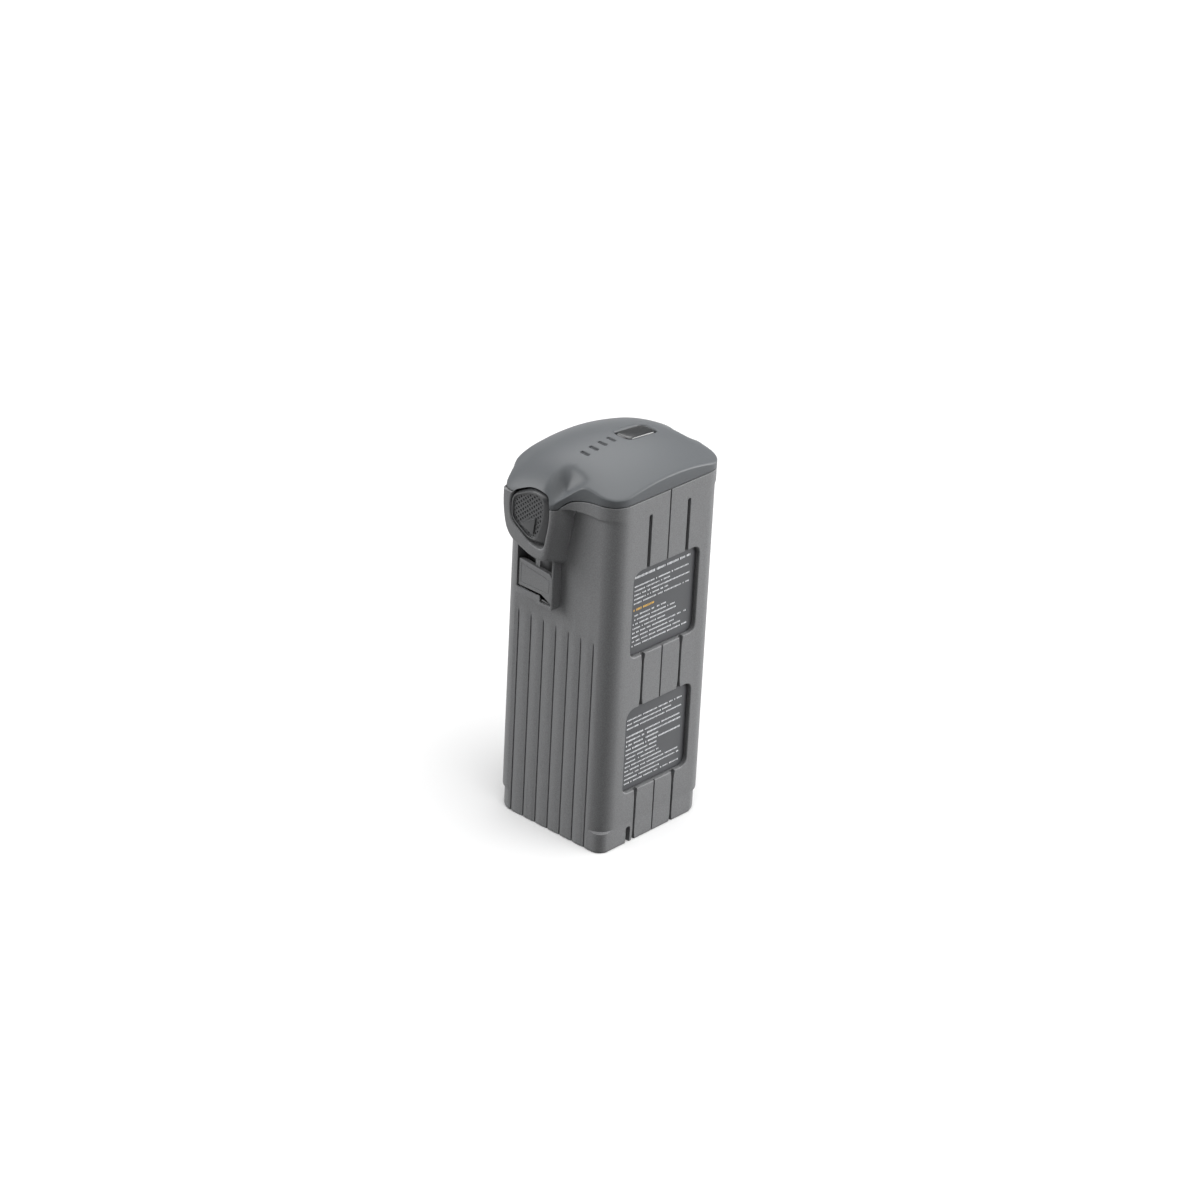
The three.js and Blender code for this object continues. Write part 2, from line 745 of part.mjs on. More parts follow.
function topCap() {
  const shoulderSteps = [0, 0.06, 0.2, 0.42, 0.7, 1];
  let cap = solid(domedBlock(latchSeam - 6, 0, shoulderSteps)).subtract(belowSeam(fit / 2));
  const skirt = rectangle(-skirtX, skirtX, -skirtY, skirtY, cavityCorner - fit);
  cap = cap.add(solid(alongZ(skirt, skirtBottom, seamHeight + 2)));
  const inside = rectangle(-capCavityX, capCavityX, -capCavityY, capCavityY, cavityCorner / 2);
  const room = solid(alongZ(inside, skirtBottom - 1, totalHeight)).intersect(
    solid(domedBlock(skirtBottom - 2, capWall, [0, 0.3, 1])),
  );
  cap = cap.subtract(room);
  const hollow = latchHollow();
  cap = cap.subtract(hollow).subtract(solid(mirrored(geometryOf(hollow))));
  cap = cap.subtract(solid(alongZ(keyOpening(0), boardTop, totalHeight + 1, 4)));
  const bevelRing = (grow, z) =>
    keyOpening(grow)
      .getPoints(4)
      .map((p) => new THREE.Vector3(p.x, p.y, z));
  const bevel = loft([bevelRing(-0.2, totalHeight - 1.4), bevelRing(1, totalHeight + 0.2)]);
  cap = cap.subtract(solid(bevel));
  for (let i = 0; i < lightCount; i++) {
    const slot = rectangle(
      lightX(i) - lightWidth / 2,
      lightX(i) + lightWidth / 2,
      lightY - lightLength / 2,
      lightY + lightLength / 2,
      0.4,
    );
    cap = cap.subtract(solid(alongZ(slot, boardTop, totalHeight + 1, 2)));
  }
  return geometryOf(cap);
}

piece("top_cap", topCap(), capFinish());

const switchHeight = 2.6;
const switchTop = boardTop + fit + switchHeight;

function powerButton() {
  const loop = keyOpening(-fit).getPoints(4);
  const ring = (share, z) =>
    loop.map((p) => {
      const x = keyX + (p.x - keyX) * share;
      const y = keyY + (p.y - keyY) * share;
      return new THREE.Vector3(x, y, z ?? dome(x, y) - keySunk - 0.5 * share ** 4);
    });
  const key = loft([ring(1, keyFlangeTop - 0.4), ring(1), ring(0.86), ring(0.6), ring(0.25)]);
  const flange = alongZ(keyOpening(0.8), keyFlangeTop - 0.9, keyFlangeTop);
  const stemBottom = switchTop + keyTravel + fit;
  const stemLength = keyFlangeTop - 0.5 - stemBottom;
  const stem = new THREE.CylinderGeometry(1.6, 1.6, stemLength, 12)
    .rotateX(Math.PI / 2)
    .translate(keyX, keyY, stemBottom + stemLength / 2);
  return geometryOf(solid(key).add(solid(flange)).add(solid(stem)));
}

piece("power_button", powerButton(), keyFinish());

function lightGuide() {
  const halfWidth = lightWidth / 2 - fit / 2;
  const halfLength = lightLength / 2 - fit / 2;
  const bottom = boardTop + 2 * fit + 0.8;
  const barBottom = bottom + 3;
  const last = lightX(lightCount - 1);
  let guide = solid(
    box(lightX(0) - 1.4, last + 1.4, lightY - 1, lightY + 1, barBottom, barBottom + 1.2),
  );
  for (let i = 0; i < lightCount; i++) {
    const x = lightX(i);
    const top = dome(x + Math.sign(x) * halfWidth, lightY) - 0.3;
    const finger = box(
      x - halfWidth,
      x + halfWidth,
      lightY - halfLength,
      lightY + halfLength,
      bottom,
      top,
    );
    guide = guide.add(solid(finger));
  }
  return geometryOf(guide);
}

piece("light_guide", lightGuide(), lensFinish());

// ---- Latches -----------------------------------------------------------------------------------
function latchArm() {
  const backing = alongX(gripOutline(0), armX, armX + 1.6);
  const web = box(armX, armX + armWeb, armNear, armFar, catchHeight - 1, gripBottom + 5.5);
  const tongue = alongX(tongueOutline(0), armX, boxX - 0.1);
  return solid(backing).add(solid(web)).add(solid(tongue));
}

function gripPad() {
  const base = armX + 1.6 + fit;
  const face = sideX + gripProud;
  const loopAt = (grow, x) =>
    gripOutline(grow)
      .getPoints(3)
      .map((p) => new THREE.Vector3(x, p.x, p.y));
  const rim = loft([loopAt(0, base), loopAt(0, face - 0.4), loopAt(-0.4, face)]);
  const sunk = loft([loopAt(-1.4, face - 0.6), loopAt(-1, face + 0.5)]);
  const rib = outline([
    [gripNear + 2.7, gripBottom + 1.6, 0.3],
    [gripFar - 3, gripBottom + 2.3, 0.3],
    [gripNear + 1.9, gripBottom + 6, 0.3],
  ]);
  return solid(rim).subtract(solid(sunk)).add(solid(alongX(rib, face - 1, face)));
}

// A compression spring along X, with flat-ended wire.
function latchSpring() {
  const start = springSeat + fit + springWire / 2;
  const end = armX - fit - springWire / 2;
  const steps = springTurns * 8;
  const points = [];
  for (let i = 0; i <= steps; i++) {
    const turn = (i / steps) * springTurns * 2 * Math.PI;
    const x = start + ((end - start) * i) / steps;
    points.push(
      new THREE.Vector3(
        x,
        latchY + springRadius * Math.cos(turn),
        springHeight + springRadius * Math.sin(turn),
      ),
    );
  }
  const wire = new THREE.Shape().absarc(0, 0, springWire / 2, 0, 2 * Math.PI);
  const route = new THREE.CatmullRomCurve3(points);
  return new THREE.ExtrudeGeometry(wire, { steps, extrudePath: route, curveSegments: 3 });
}

for (const [side, onSide] of [
  ["left", mirrored],
  ["right", (geometry) => geometry],
]) {
  piece(`${side}_latch_arm`, onSide(geometryOf(latchArm())), shellFinish());
  piece(`${side}_grip_pad`, onSide(geometryOf(gripPad())), gripFinish());
  piece(`${side}_latch_spring`, onSide(geometryOf(solid(latchSpring()))), steelFinish());
}

// ---- Labels ------------------------------------------------------------------------------------
for (const [name, place] of [
  ["upper_label", upperPocket],
  ["lower_label", lowerPocket],
]) {
  const back = -faceY + pocketDepth - fit;
  piece(name, alongY(pocket(place, fit), back - labelThickness, back), labelFinish());
}

// ---- Cells -------------------------------------------------------------------------------------
const cellPitch = cellThickness + padSpace;
const cellY = (i) => (i - (cellCount - 1) / 2) * cellPitch;

for (let i = 0; i < cellCount; i++) {
  const half = cellWidth / 2;
  const pouch = alongZ(
    rectangle(-half, half, cellY(i) - cellThickness / 2, cellY(i) + cellThickness / 2, 2),
    cellBottom,
    cellTop - 2.5,
  );
  const seal = box(-half + 1, half - 1, cellY(i) - 0.5, cellY(i) + 0.5, cellTop - 3, cellTop);
  const tab = (x) =>
    box(
      x - tabWidth / 2,
      x + tabWidth / 2,
      cellY(i) - tabThickness / 2,
      cellY(i) + tabThickness / 2,
      cellTop - 0.5,
      upperFrameTop + tabHeight,
    );
  const cell = solid(pouch).add(solid(seal)).add(solid(tab(-tabX))).add(solid(tab(tabX)));
  piece(`pouch_cell_${i + 1}`, geometryOf(cell), foilFinish());
}

for (let i = 0; i < cellCount - 1; i++) {
  const y = cellY(i) + cellPitch / 2;
  const half = cellWidth / 2 - 2;
  const pad = box(-half, half, y - padThickness / 2, y + padThickness / 2, cellBottom + 3, cellTop - 5);
  piece(`cell_pad_${i + 1}`, pad, foamFinish());
}

// Strips that join one cell's tab to the next cell's tab, in series.
for (let i = 0; i < cellCount - 1; i++) {
  const x = i % 2 ? -tabX : tabX;
  const link = box(
    x - tabWidth / 2,
    x + tabWidth / 2,
    cellY(i) + tabThickness / 2 + fit,
    cellY(i + 1) - tabThickness / 2 - fit,
    upperFrameTop + fit,
    upperFrameTop + fit + tabThickness,
  );
  piece(`series_link_${i + 1}`, link, nickelFinish());
}

// ---- Frames ------------------------------------------------------------------------------------
const frameX = cavityX - frameRoom;
const frameY = cavityY - frameRoom;

function upperCellFrame() {
  let frame = solid(box(-frameX, frameX, -frameY, frameY, upperFrameBottom, upperFrameTop));
  for (const x of [-postX, postX]) {
    for (const y of [-postY, postY]) {
      const half = postSize / 2;
      const post = box(x - half, x + half, y - half, y + half, upperFrameTop - 1, boardBottom - fit);
      frame = frame.add(solid(post));
    }
  }
  const seat = box(
    springSeat - 1.6,
    springSeat,
    latchY - 3,
    latchY + 3,
    upperFrameTop - 1,
    springHeight + springRadius + 1,
  );
  frame = frame.add(solid(seat)).add(solid(mirrored(seat)));
  for (let i = 0; i < cellCount; i++) {
    for (const x of [-tabX, tabX]) {
      const half = tabWidth / 2 + fit;
      const way = box(
        x - half,
        x + half,
        cellY(i) - tabThickness / 2 - fit,
        cellY(i) + tabThickness / 2 + fit,
        upperFrameBottom - 1,
        boardBottom,
      );
      frame = frame.subtract(solid(way));
    }
  }
  for (const x of [-postX, postX]) {
    for (const y of [-postY, postY]) {
      frame = frame.subtract(solid(screwHole(x, y, boardBottom - screwLength, boardTop)));
    }
  }
  return geometryOf(frame);
}

function screwHole(x, y, z0, z1) {
  const radius = screwShank + fit;
  return new THREE.CylinderGeometry(radius, radius, z1 - z0, 12)
    .rotateX(Math.PI / 2)
    .translate(x, y, (z0 + z1) / 2);
}

piece("upper_cell_frame", upperCellFrame(), blackFinish());

const leadNear = -8;
const leadFar = -1;
const leadThickness = 0.3;
const leadX = cavityX - (cellSideRoom + leadThickness) / 2;
const leadFoot = 6;
const foldHeight = upperFrameTop + 1.2;
const legWidth = 2.4;

function lowerCellFrame() {
  const bottom = connectorBoardTop + fit;
  let frame = solid(box(-frameX, frameX, -frameY, frameY, bottom, lowerFrameTop));
  const leadRoom = box(
    leadX - leadFoot - fit,
    frameX + 1,
    leadNear - fit,
    leadFar + fit,
    bottom - 1,
    lowerFrameTop + 1,
  );
  const flexRoom = box(-6, 6, frameY - 5, frameY + 1, bottom - 1, lowerFrameTop + 1);
  for (const room of [leadRoom, mirrored(leadRoom), flexRoom]) {
    frame = frame.subtract(solid(room));
  }
  const leg = box(
    frameX - legWidth,
    frameX,
    frameY - 4,
    frameY,
    floorThickness + fit,
    lowerFrameTop - 0.5,
  );
  for (const y of [0, -2 * frameY + 4]) {
    const placed = leg.clone().translate(0, y, 0);
    frame = frame.add(solid(placed)).add(solid(mirrored(placed)));
  }
  return geometryOf(frame);
}

piece("lower_cell_frame", lowerCellFrame(), blackFinish());

// ---- Main board and what stands on it ------------------------------------------------------------
function mainBoard() {
  const boardX = capCavityX - boardRoom;
  const boardY = capCavityY - boardRoom;
  const plate = rectangle(-boardX, boardX, -boardY, boardY, 1.5);
  let board = solid(alongZ(plate, boardBottom, boardTop));
  for (const x of [-postX, postX]) {
    for (const y of [-postY, postY]) {
      board = board.subtract(solid(screwHole(x, y, boardBottom - 1, boardTop + 1)));
    }
  }
  return geometryOf(board);
}

piece("main_board", mainBoard(), boardFinish());

function boardScrew(x, y) {
  const bottom = boardBottom - screwLength + 2 * fit;
  const headBottom = boardTop + fit;
  const profile = [
    new THREE.Vector2(0, bottom),
    new THREE.Vector2(screwShank * 0.6, bottom),
    new THREE.Vector2(screwShank, bottom + 0.8),
    new THREE.Vector2(screwShank, headBottom),
    new THREE.Vector2(screwHead, headBottom),
    new THREE.Vector2(screwHead, headBottom + screwHeadHeight * 0.6),
    new THREE.Vector2(screwHead * 0.6, headBottom + screwHeadHeight),
    new THREE.Vector2(0, headBottom + screwHeadHeight),
  ];
  return new THREE.LatheGeometry(profile, 12).rotateX(Math.PI / 2).translate(x, y, 0);
}

[
  [-postX, -postY],
  [postX, -postY],
  [-postX, postY],
  [postX, postY],
].forEach(([x, y], i) => {
  piece(`board_screw_${i + 1}`, geometryOf(solid(boardScrew(x, y))), steelFinish());
});

function onBoard(name, x, y, length, width, height, material) {
  const bottom = boardTop + fit;
  const chip = box(x - length / 2, x + length / 2, y - width / 2, y + width / 2, bottom, bottom + height);
  piece(name, chip, material);
}

function tactSwitch() {
  const bottom = boardTop + fit;
  const can = box(keyX - 3, keyX + 3, keyY - 1.8, keyY + 1.8, bottom, bottom + switchHeight - 0.8);
  const plunger = new THREE.CylinderGeometry(1.2, 1.2, 1.2, 12)
    .rotateX(Math.PI / 2)
    .translate(keyX, keyY, switchTop - 0.6);
  return geometryOf(solid(can).add(solid(plunger)));
}

piece("tact_switch", tactSwitch(), steelFinish());
for (let i = 0; i < lightCount; i++) {
  onBoard(`led_chip_${i + 1}`, lightX(i), lightY, 1.6, 0.8, 0.6, lensFinish());
}
onBoard("controller_chip", -6, 8.5, 7, 7, 0.9, chipFinish());
onBoard("protection_fet_1", 6, 9, 5, 6, 1, chipFinish());
onBoard("protection_fet_2", -7, -9, 5, 6, 1, chipFinish());
onBoard("fuse", 5, -10, 6, 3, 1.6, foamFinish());

// ---- Connector in the base -----------------------------------------------------------------------
const bladeX = (i) => (i - (bladeCount - 1) / 2) * bladePitch;

function connectorHousing() {
  const halfX = wellWidth / 2 - fit;
  const halfY = wellDepth / 2 - fit;
  const block = box(-halfX, halfX, -halfY, halfY, blockBottom, flangeTop);
  const flange = box(
    -halfX - wellWall,
    halfX + wellWall,
    -halfY - wellWall,
    halfY + wellWall,
    blockTop + fit,
    flangeTop,
  );
  let housing = solid(block).add(solid(flange));
  for (let i = 0; i < bladeCount; i++) {
    const halfT = bladeThickness / 2 + fit;
    const halfW = bladeWidth / 2 + fit;
    const x = bladeX(i);
    const way = box(x - halfT, x + halfT, -halfW, halfW, blockBottom - 1, flangeTop + 1);
    housing = housing.subtract(solid(way));
  }
  return geometryOf(housing);
}

piece("connector_housing", connectorHousing(), blackFinish());

for (let i = 0; i < bladeCount; i++) {
  const x = bladeX(i);
  const half = bladeThickness / 2;
  const blade = box(x - half, x + half, -bladeWidth / 2, bladeWidth / 2, blockBottom + 0.6, flangeTop);
  piece(`contact_blade_${i + 1}`, blade, goldFinish());
}

piece(
  "connector_board",
  box(
    -frameX + legWidth + fit,
    frameX - legWidth - fit,
    -frameY,
    frameY,
    connectorBoardBottom,
    connectorBoardTop,
  ),
  boardFinish(),
);

// ---- Leads from the connector board up to the main board -----------------------------------------
// A strip bent in one plane: a foot on the lower board, a long upright, a fold and a short riser.
function strip(outer, foot, fold, thickness) {
  const low = connectorBoardTop + fit;
  const high = boardBottom - fit;
  return outline(
    [
      [outer - foot, low],
      [outer, low],
      [outer, foldHeight + thickness],
      [outer - fold, foldHeight + thickness],
      [outer - fold, high],
      [outer - fold - thickness, high],
      [outer - fold - thickness, foldHeight],
      [outer - thickness, foldHeight],
      [outer - thickness, low + thickness],
      [outer - foot, low + thickness],
    ].map(([a, b]) => [a, b, 0]),
  );
}

const lead = alongY(strip(leadX + leadThickness, leadFoot, 3.6, leadThickness), leadNear, leadFar);
piece("positive_lead", lead, nickelFinish());
piece("negative_lead", mirrored(lead), nickelFinish());
piece("flex_cable", alongX(strip(frameY + fit + 0.3, 4.5, 3.6, 0.3), -5, 5), flexFinish());

// A small bead on a foil tail, resting on the first cell's pouch.
piece(
  "thermistor",
  box(-2, 2, -cavityY + 0.15, cellY(0) - cellThickness / 2 - 0.15, 60, 63),
  blackFinish(),
);

export default model;
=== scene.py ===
import json
import math

import bmesh
import bpy
import numpy as np
from mathutils import Matrix, Vector

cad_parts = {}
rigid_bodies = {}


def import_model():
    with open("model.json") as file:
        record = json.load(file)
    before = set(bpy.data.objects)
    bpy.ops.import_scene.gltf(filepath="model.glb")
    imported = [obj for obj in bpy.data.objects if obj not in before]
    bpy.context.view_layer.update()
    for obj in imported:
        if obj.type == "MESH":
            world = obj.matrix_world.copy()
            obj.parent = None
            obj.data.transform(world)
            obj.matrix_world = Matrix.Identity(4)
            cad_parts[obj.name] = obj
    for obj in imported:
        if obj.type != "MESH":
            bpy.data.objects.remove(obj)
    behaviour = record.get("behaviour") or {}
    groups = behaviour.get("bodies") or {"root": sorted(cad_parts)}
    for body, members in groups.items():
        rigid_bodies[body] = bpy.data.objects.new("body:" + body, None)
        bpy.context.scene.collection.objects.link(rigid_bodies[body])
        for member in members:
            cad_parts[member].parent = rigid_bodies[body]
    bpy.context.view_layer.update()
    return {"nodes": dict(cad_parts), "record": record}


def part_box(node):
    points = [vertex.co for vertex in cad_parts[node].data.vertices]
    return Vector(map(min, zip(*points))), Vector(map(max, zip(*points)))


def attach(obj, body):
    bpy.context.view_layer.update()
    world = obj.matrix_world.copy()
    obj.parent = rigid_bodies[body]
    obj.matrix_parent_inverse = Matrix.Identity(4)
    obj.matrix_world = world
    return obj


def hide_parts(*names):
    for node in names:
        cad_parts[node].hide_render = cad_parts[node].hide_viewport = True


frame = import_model()

# ---- Sleeve ------------------------------------------------------------------------------------
# The deep outer sleeve that holds the cells: one moulding in dark grey, finely grained plastic.
# Its wide faces carry label pockets and sink grooves, its narrow sides are ribbed for grip, and a
# collar with the lower half of each latch housing stands round its mouth.
MM = 0.001


def cad_mm(node):
    """Lowest and highest corner of a node of the frame, in millimetres."""
    low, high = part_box(node)
    return np.array(low) / MM, np.array(high) / MM


def curve(*controls, steps=10):
    """Points of a Bezier curve after its first control point."""
    t = np.linspace(0, 1, steps + 1)[1:, None]
    points = [np.array(p, float) for p in controls]
    while len(points) > 1:
        points = [a + (b - a) * t for a, b in zip(points, points[1:])]
    return points[0]


def outline(corners, steps=8):
    """A closed loop with rounded corners; each corner is (u, v, how far the rounding reaches)."""
    loop = []
    for i, (u, v, reach) in enumerate(corners):
        here = np.array((u, v), float)
        if not reach:
            loop.append(here)
            continue
        sides = [np.array(corners[k % len(corners)][:2]) - here for k in (i - 1, i + 1)]
        lengths = [np.linalg.norm(side) for side in sides]
        reach = min(reach, 0.48 * min(lengths))
        ends = [here + side * reach / length for side, length in zip(sides, lengths)]
        loop.append(ends[0])
        loop.extend(curve(ends[0], here, ends[1], steps=steps))
    return np.array(loop)


def grown(loop, by):
    """The same loop moved outwards by a distance, with as many points."""
    ahead = np.roll(loop, -1, 0) - loop
    area = np.sum(loop[:, 0] * ahead[:, 1] - loop[:, 1] * ahead[:, 0])
    ahead /= np.linalg.norm(ahead, axis=1)[:, None]
    out = np.stack([ahead[:, 1], -ahead[:, 0]], 1) * np.sign(area)
    both = out + np.roll(out, 1, 0)
    return loop + 2 * by * both / np.sum(both**2, 1)[:, None]


def along_x(loop, x):
    return np.column_stack([np.full(len(loop), x), loop])


def along_y(loop, y):
    return np.column_stack([loop[:, 0], np.full(len(loop), y), loop[:, 1]])


def along_z(loop, z):
    z = np.broadcast_to(z, len(loop))
    return np.column_stack([loop, z])


def solid(name, points, faces):
    """A new body from points in millimetres, with its faces turned outwards."""
    mesh = bpy.data.meshes.new(name)
    mesh.from_pydata(points * MM, [], faces)
    edit = bmesh.new()
    edit.from_mesh(mesh)
    if edit.calc_volume(signed=True) < 0:
        bmesh.ops.reverse_faces(edit, faces=edit.faces)
    edit.to_mesh(mesh)
    edit.free()
    body = bpy.data.objects.new(name, mesh)
    bpy.context.scene.collection.objects.link(body)
    return body


def lofted(name, rings, peak=False):
    """A closed body through rings of points; with a peak, its last ring closes on a middle point."""
    count = len(rings[0])
    points = np.concatenate(rings)
    faces = []
    for k in range(len(rings) - 1):
        a, b = k * count, (k + 1) * count
        for i in range(count):
            j = (i + 1) % count
            faces.append((a + i, a + j, b + j, b + i))
    faces.append(tuple(range(count))[::-1])
    last = (len(rings) - 1) * count
    if peak:
        points = np.vstack([points, rings[-1].mean(0)])
        faces += [(last + i, last + (i + 1) % count, len(points) - 1) for i in range(count)]
    else:
        faces.append(tuple(range(last, last + count)))
    return solid(name, points, faces)


def hoop(name, rings):
    """A ring-shaped body: the last loop of points joins the first."""
    count = len(rings[0])
    faces = []
    for k in range(len(rings)):
        a, b = k * count, (k + 1) % len(rings) * count
        faces += [(a + i, a + (i + 1) % count, b + (i + 1) % count, b + i) for i in range(count)]
    return solid(name, np.concatenate(rings), faces)


def mirrored(body):
    """The same body on the other narrow side."""
    twin = body.copy()
    twin.data = body.data.copy()
    twin.data.transform(Matrix.Scale(-1, 4, (1, 0, 0)))
    twin.data.flip_normals()
    bpy.context.scene.collection.objects.link(twin)
    return twin


def settle(piece):
    """Applies the piece's modifiers to its mesh."""
    graph = bpy.context.evaluated_depsgraph_get()
    made = bpy.data.meshes.new_from_object(piece.evaluated_get(graph))
    piece.modifiers.clear()
    piece.data = made


def combine(piece, other, operation):
    """Joins, cuts or intersects a piece with another body, which is used up."""
    step = piece.modifiers.new("step", "BOOLEAN")
    step.solver = "MANIFOLD"
    step.operation = operation
    step.object = other
    settle(piece)
    if not piece.data.vertices:
        raise RuntimeError(f"{piece.name} was lost when it met {other.name}")
    bpy.data.objects.remove(other)


def both_sides(piece, other, operation):
    combine(piece, mirrored(other), operation)
    combine(piece, other, operation)


def sunk(name, loop, place, surface, inwards, depth, lip):
    """A cutter for a pocket: upright walls, a small foot radius and a rounded lip at the surface."""
    rings = [place(grown(loop, -0.12), surface + inwards * depth)]
    rings.append(place(loop, surface + inwards * (depth - 0.12)))
    for turn in np.linspace(0, 80, 5):
        angle = math.radians(turn)
        by, down = lip * (1 - math.cos(angle)), lip * (1 - math.sin(angle))
        rings.append(place(grown(loop, by), surface + inwards * down))
    rings.append(place(grown(loop, lip * 1.1), surface - inwards * 0.6))
    return lofted(name, rings)


def raised(name, loop, root, face, edge):
    """A boss on the narrow side: upright walls and a rounded edge round its outer face."""
    rings = [along_x(loop, root)]
    for turn in np.linspace(0, 90, 5):
        angle = math.radians(turn)
        back, down = edge * (math.cos(angle) - 1), edge * (1 - math.sin(angle))
        rings.append(along_x(grown(loop, back), face - down))
    return lofted(name, rings)


shell_high = cad_mm("outer_shell")[1]
cap_high = cad_mm("top_cap")[1]
grip_low, grip_high = cad_mm("right_grip_pad")
arm_low, arm_high = cad_mm("right_latch_arm")
gap = 0.3
side_x = 23.0
face_y = shell_high[1]
bump_x = shell_high[0]
seam_top = shell_high[2] + gap / 2
collar_x = side_x + 1.1
collar_radius = 7.0
body_radius = 6.0
foot_radius = 7.4
keyed_radius = 3.6
collar_low = seam_top - 4.2
bump_near = grip_low[1] - 5.1
bump_far = bump_near + 20
bump_tip = grip_low[2] - 5.1
seam_dip = 4.4


def plan():
    """The cap's outline from above: a round-cornered collar that swells into two latch housings."""
    straight, side = collar_x - collar_radius, face_y - collar_radius
    near, far = math.radians(90), math.radians(50.4)

    def corner(start, end, up):
        turn = np.linspace(start, end, 13)[1:]
        spot = np.array((straight, up * side))
        return spot + collar_radius * np.column_stack([np.cos(turn), np.sin(turn)])

    front = np.column_stack([np.linspace(0, straight, 12), np.full(12, -face_y)])
    on_corner = corner(far, far, 1)[0]
    half = np.vstack(
        [
            front,
            corner(-near, 0, -1),
            curve(
                (collar_x, -side),
                (collar_x, bump_near - 3),
                (bump_x - 3.6, bump_near - 1),
                (bump_x - 0.9, bump_near + 0.4),
                steps=26,
            ),
            curve(
                (bump_x - 0.9, bump_near + 0.4),
                (bump_x - 0.1, bump_near + 0.9),
                (bump_x, bump_near + 2.4),
                steps=7,
            ),
            np.column_stack([np.full(8, bump_x), np.linspace(bump_near + 3.3, bump_far - 10.4, 8)]),
            curve(
                (bump_x, bump_far - 10.4), (bump_x, bump_far - 4), (bump_x - 0.8, bump_far - 1), steps=10
            ),
            curve(
                (bump_x - 0.8, bump_far - 1),
                (bump_x - 1.6, bump_far + 1.2),
                (bump_x - 4, bump_far + 2),
                steps=8,
            ),
            curve((bump_x - 4, bump_far + 2), (bump_x - 6, bump_far + 2.6), on_corner, steps=6),
            corner(far, near, 1),
            np.column_stack([np.linspace(straight, 0, 12)[1:], np.full(11, face_y)]),
        ]
    )
    return np.vstack([half, half[-2:0:-1] * (-1, 1)])


def seam_line():
    """Depth and height of the seam from the front face to the back; it dips across each latch."""
    near = bump_near
    return np.vstack(
        [
            [(-40, seam_top), (near - 12, seam_top)],
            curve((near - 12, seam_top), (near - 8, seam_top - 0.2), (near - 4, seam_top - 1.2)),
            curve(
                (near - 4, seam_top - 1.2), (near - 1.2, seam_top - 1.9), (near, seam_top - seam_dip)
            ),
            curve(
                (bump_far, seam_top - seam_dip),
                (bump_far + 2, seam_top - 1.6),
                (face_y - 1.6, seam_top),
            ),
            [(40, seam_top)],
        ]
    )


def below_seam(raise_by):
    line = seam_line() + (0, raise_by)
    loop = np.vstack([line, [(40, -20), (-40, -20)]])
    return lofted("below_seam", [along_x(loop, -40), along_x(loop, 40)])


def seam_groove(size=0.28):
    """A thin ring along the seam that leaves a small bevel on both of its lips."""
    loop = plan()
    line = seam_line()
    height = np.interp(loop[:, 1], line[:, 0], line[:, 1])
    rings = []
    for turn in range(4):
        angle = math.radians(90 * turn)
        across = grown(loop, size * math.cos(angle))
        rings.append(along_z(across, height + size * math.sin(angle)))
    return hoop("seam_groove", rings)


def sleeve_body():
    """Foot, upright walls with round corners, and the collar, as one loft through the plan's loop."""
    loop = plan()
    corner_x, corner_y = side_x - body_radius, face_y - body_radius
    straight = collar_x - collar_radius
    over = np.maximum(np.abs(loop[:, 1]) - corner_y, 0)
    half = corner_x + np.sqrt(np.maximum(body_radius**2 - over**2, 0))
    x = np.where(np.abs(loop[:, 0]) <= straight, np.abs(loop[:, 0]) * corner_x / straight, half)
    body = np.column_stack([np.sign(loop[:, 0]) * x, loop[:, 1]])
    sign = np.sign(body)
    keyed = (sign[:, 0] < 0) & (sign[:, 1] < 0)
    radius = np.where(keyed, keyed_radius, foot_radius)[:, None]
    past = np.maximum(np.abs(body) - (corner_x, corner_y), 0) / body_radius
    in_corner = np.all(past > 0, axis=1)
    turned = sign * ((side_x, face_y) - radius + past * radius)
    foot = np.where(in_corner[:, None], turned, body)

    def scaled(which, inset):
        return which * (1 - inset / face_y)

    inset, foot_top, collar_foot = 0.06, 7.0, collar_low - 1.6
    rings = [along_z(scaled(foot, inset + 0.7), 0)]
    rings.append(along_z(scaled(foot, inset + 0.22), 0.12))
    rings.append(along_z(scaled(foot, inset + 0.05), 0.35))
    rings.append(along_z(scaled(foot, inset), 0.7))
    rings.append(along_z(scaled(foot, inset), foot_top - 0.5))
    rings.append(along_z(scaled(body, inset), foot_top))
    rings.append(along_z(body, foot_top + 0.3))
    for t in np.linspace(0, 1, 9):
        share = 1 - math.cos(t * math.pi / 2)
        rings.append(along_z(body + (loop - body) * share, collar_foot + (collar_low - collar_foot) * t))
    rings.append(along_z(loop, collar_low + 0.4))
    rings.append(along_z(loop, seam_top + 3))
    return lofted("sleeve", rings)


def bump_loop(grow):
    """Outline of a latch housing's lower half, seen from the side."""
    top = collar_low + 5
    near, far = bump_near - grow, bump_far + 0.7 + grow * 0.8
    return outline(
        [
            (near - 0.2, top, 0.5),
            (near - 0.1, collar_low - 3.2, 5),
            (near + 2.7, bump_tip - 0.5 - grow, 2.4),
            (bump_near + 8.4, bump_tip - 0.4 - grow, 3.5),
            (far - 2.1, bump_tip + 3.1 - grow, 4.5),
            (far, collar_low - 6, 4),
            (far, top, 0.5),
        ],
        steps=10,
    )


def latch_housing():
    edge, draft = 1.4, 0.3
    rings = []
    for x in np.linspace(side_x - 2, bump_x - edge, 8):
        rings.append(along_x(bump_loop(draft * (bump_x - edge - x)), x))
    for turn in np.linspace(0, 90, 8)[1:]:
        angle = math.radians(turn)
        back, out = edge * (math.cos(angle) - 1), edge * math.sin(angle)
        rings.append(along_x(bump_loop(back), bump_x - edge + out))
    return lofted("latch_housing", rings)


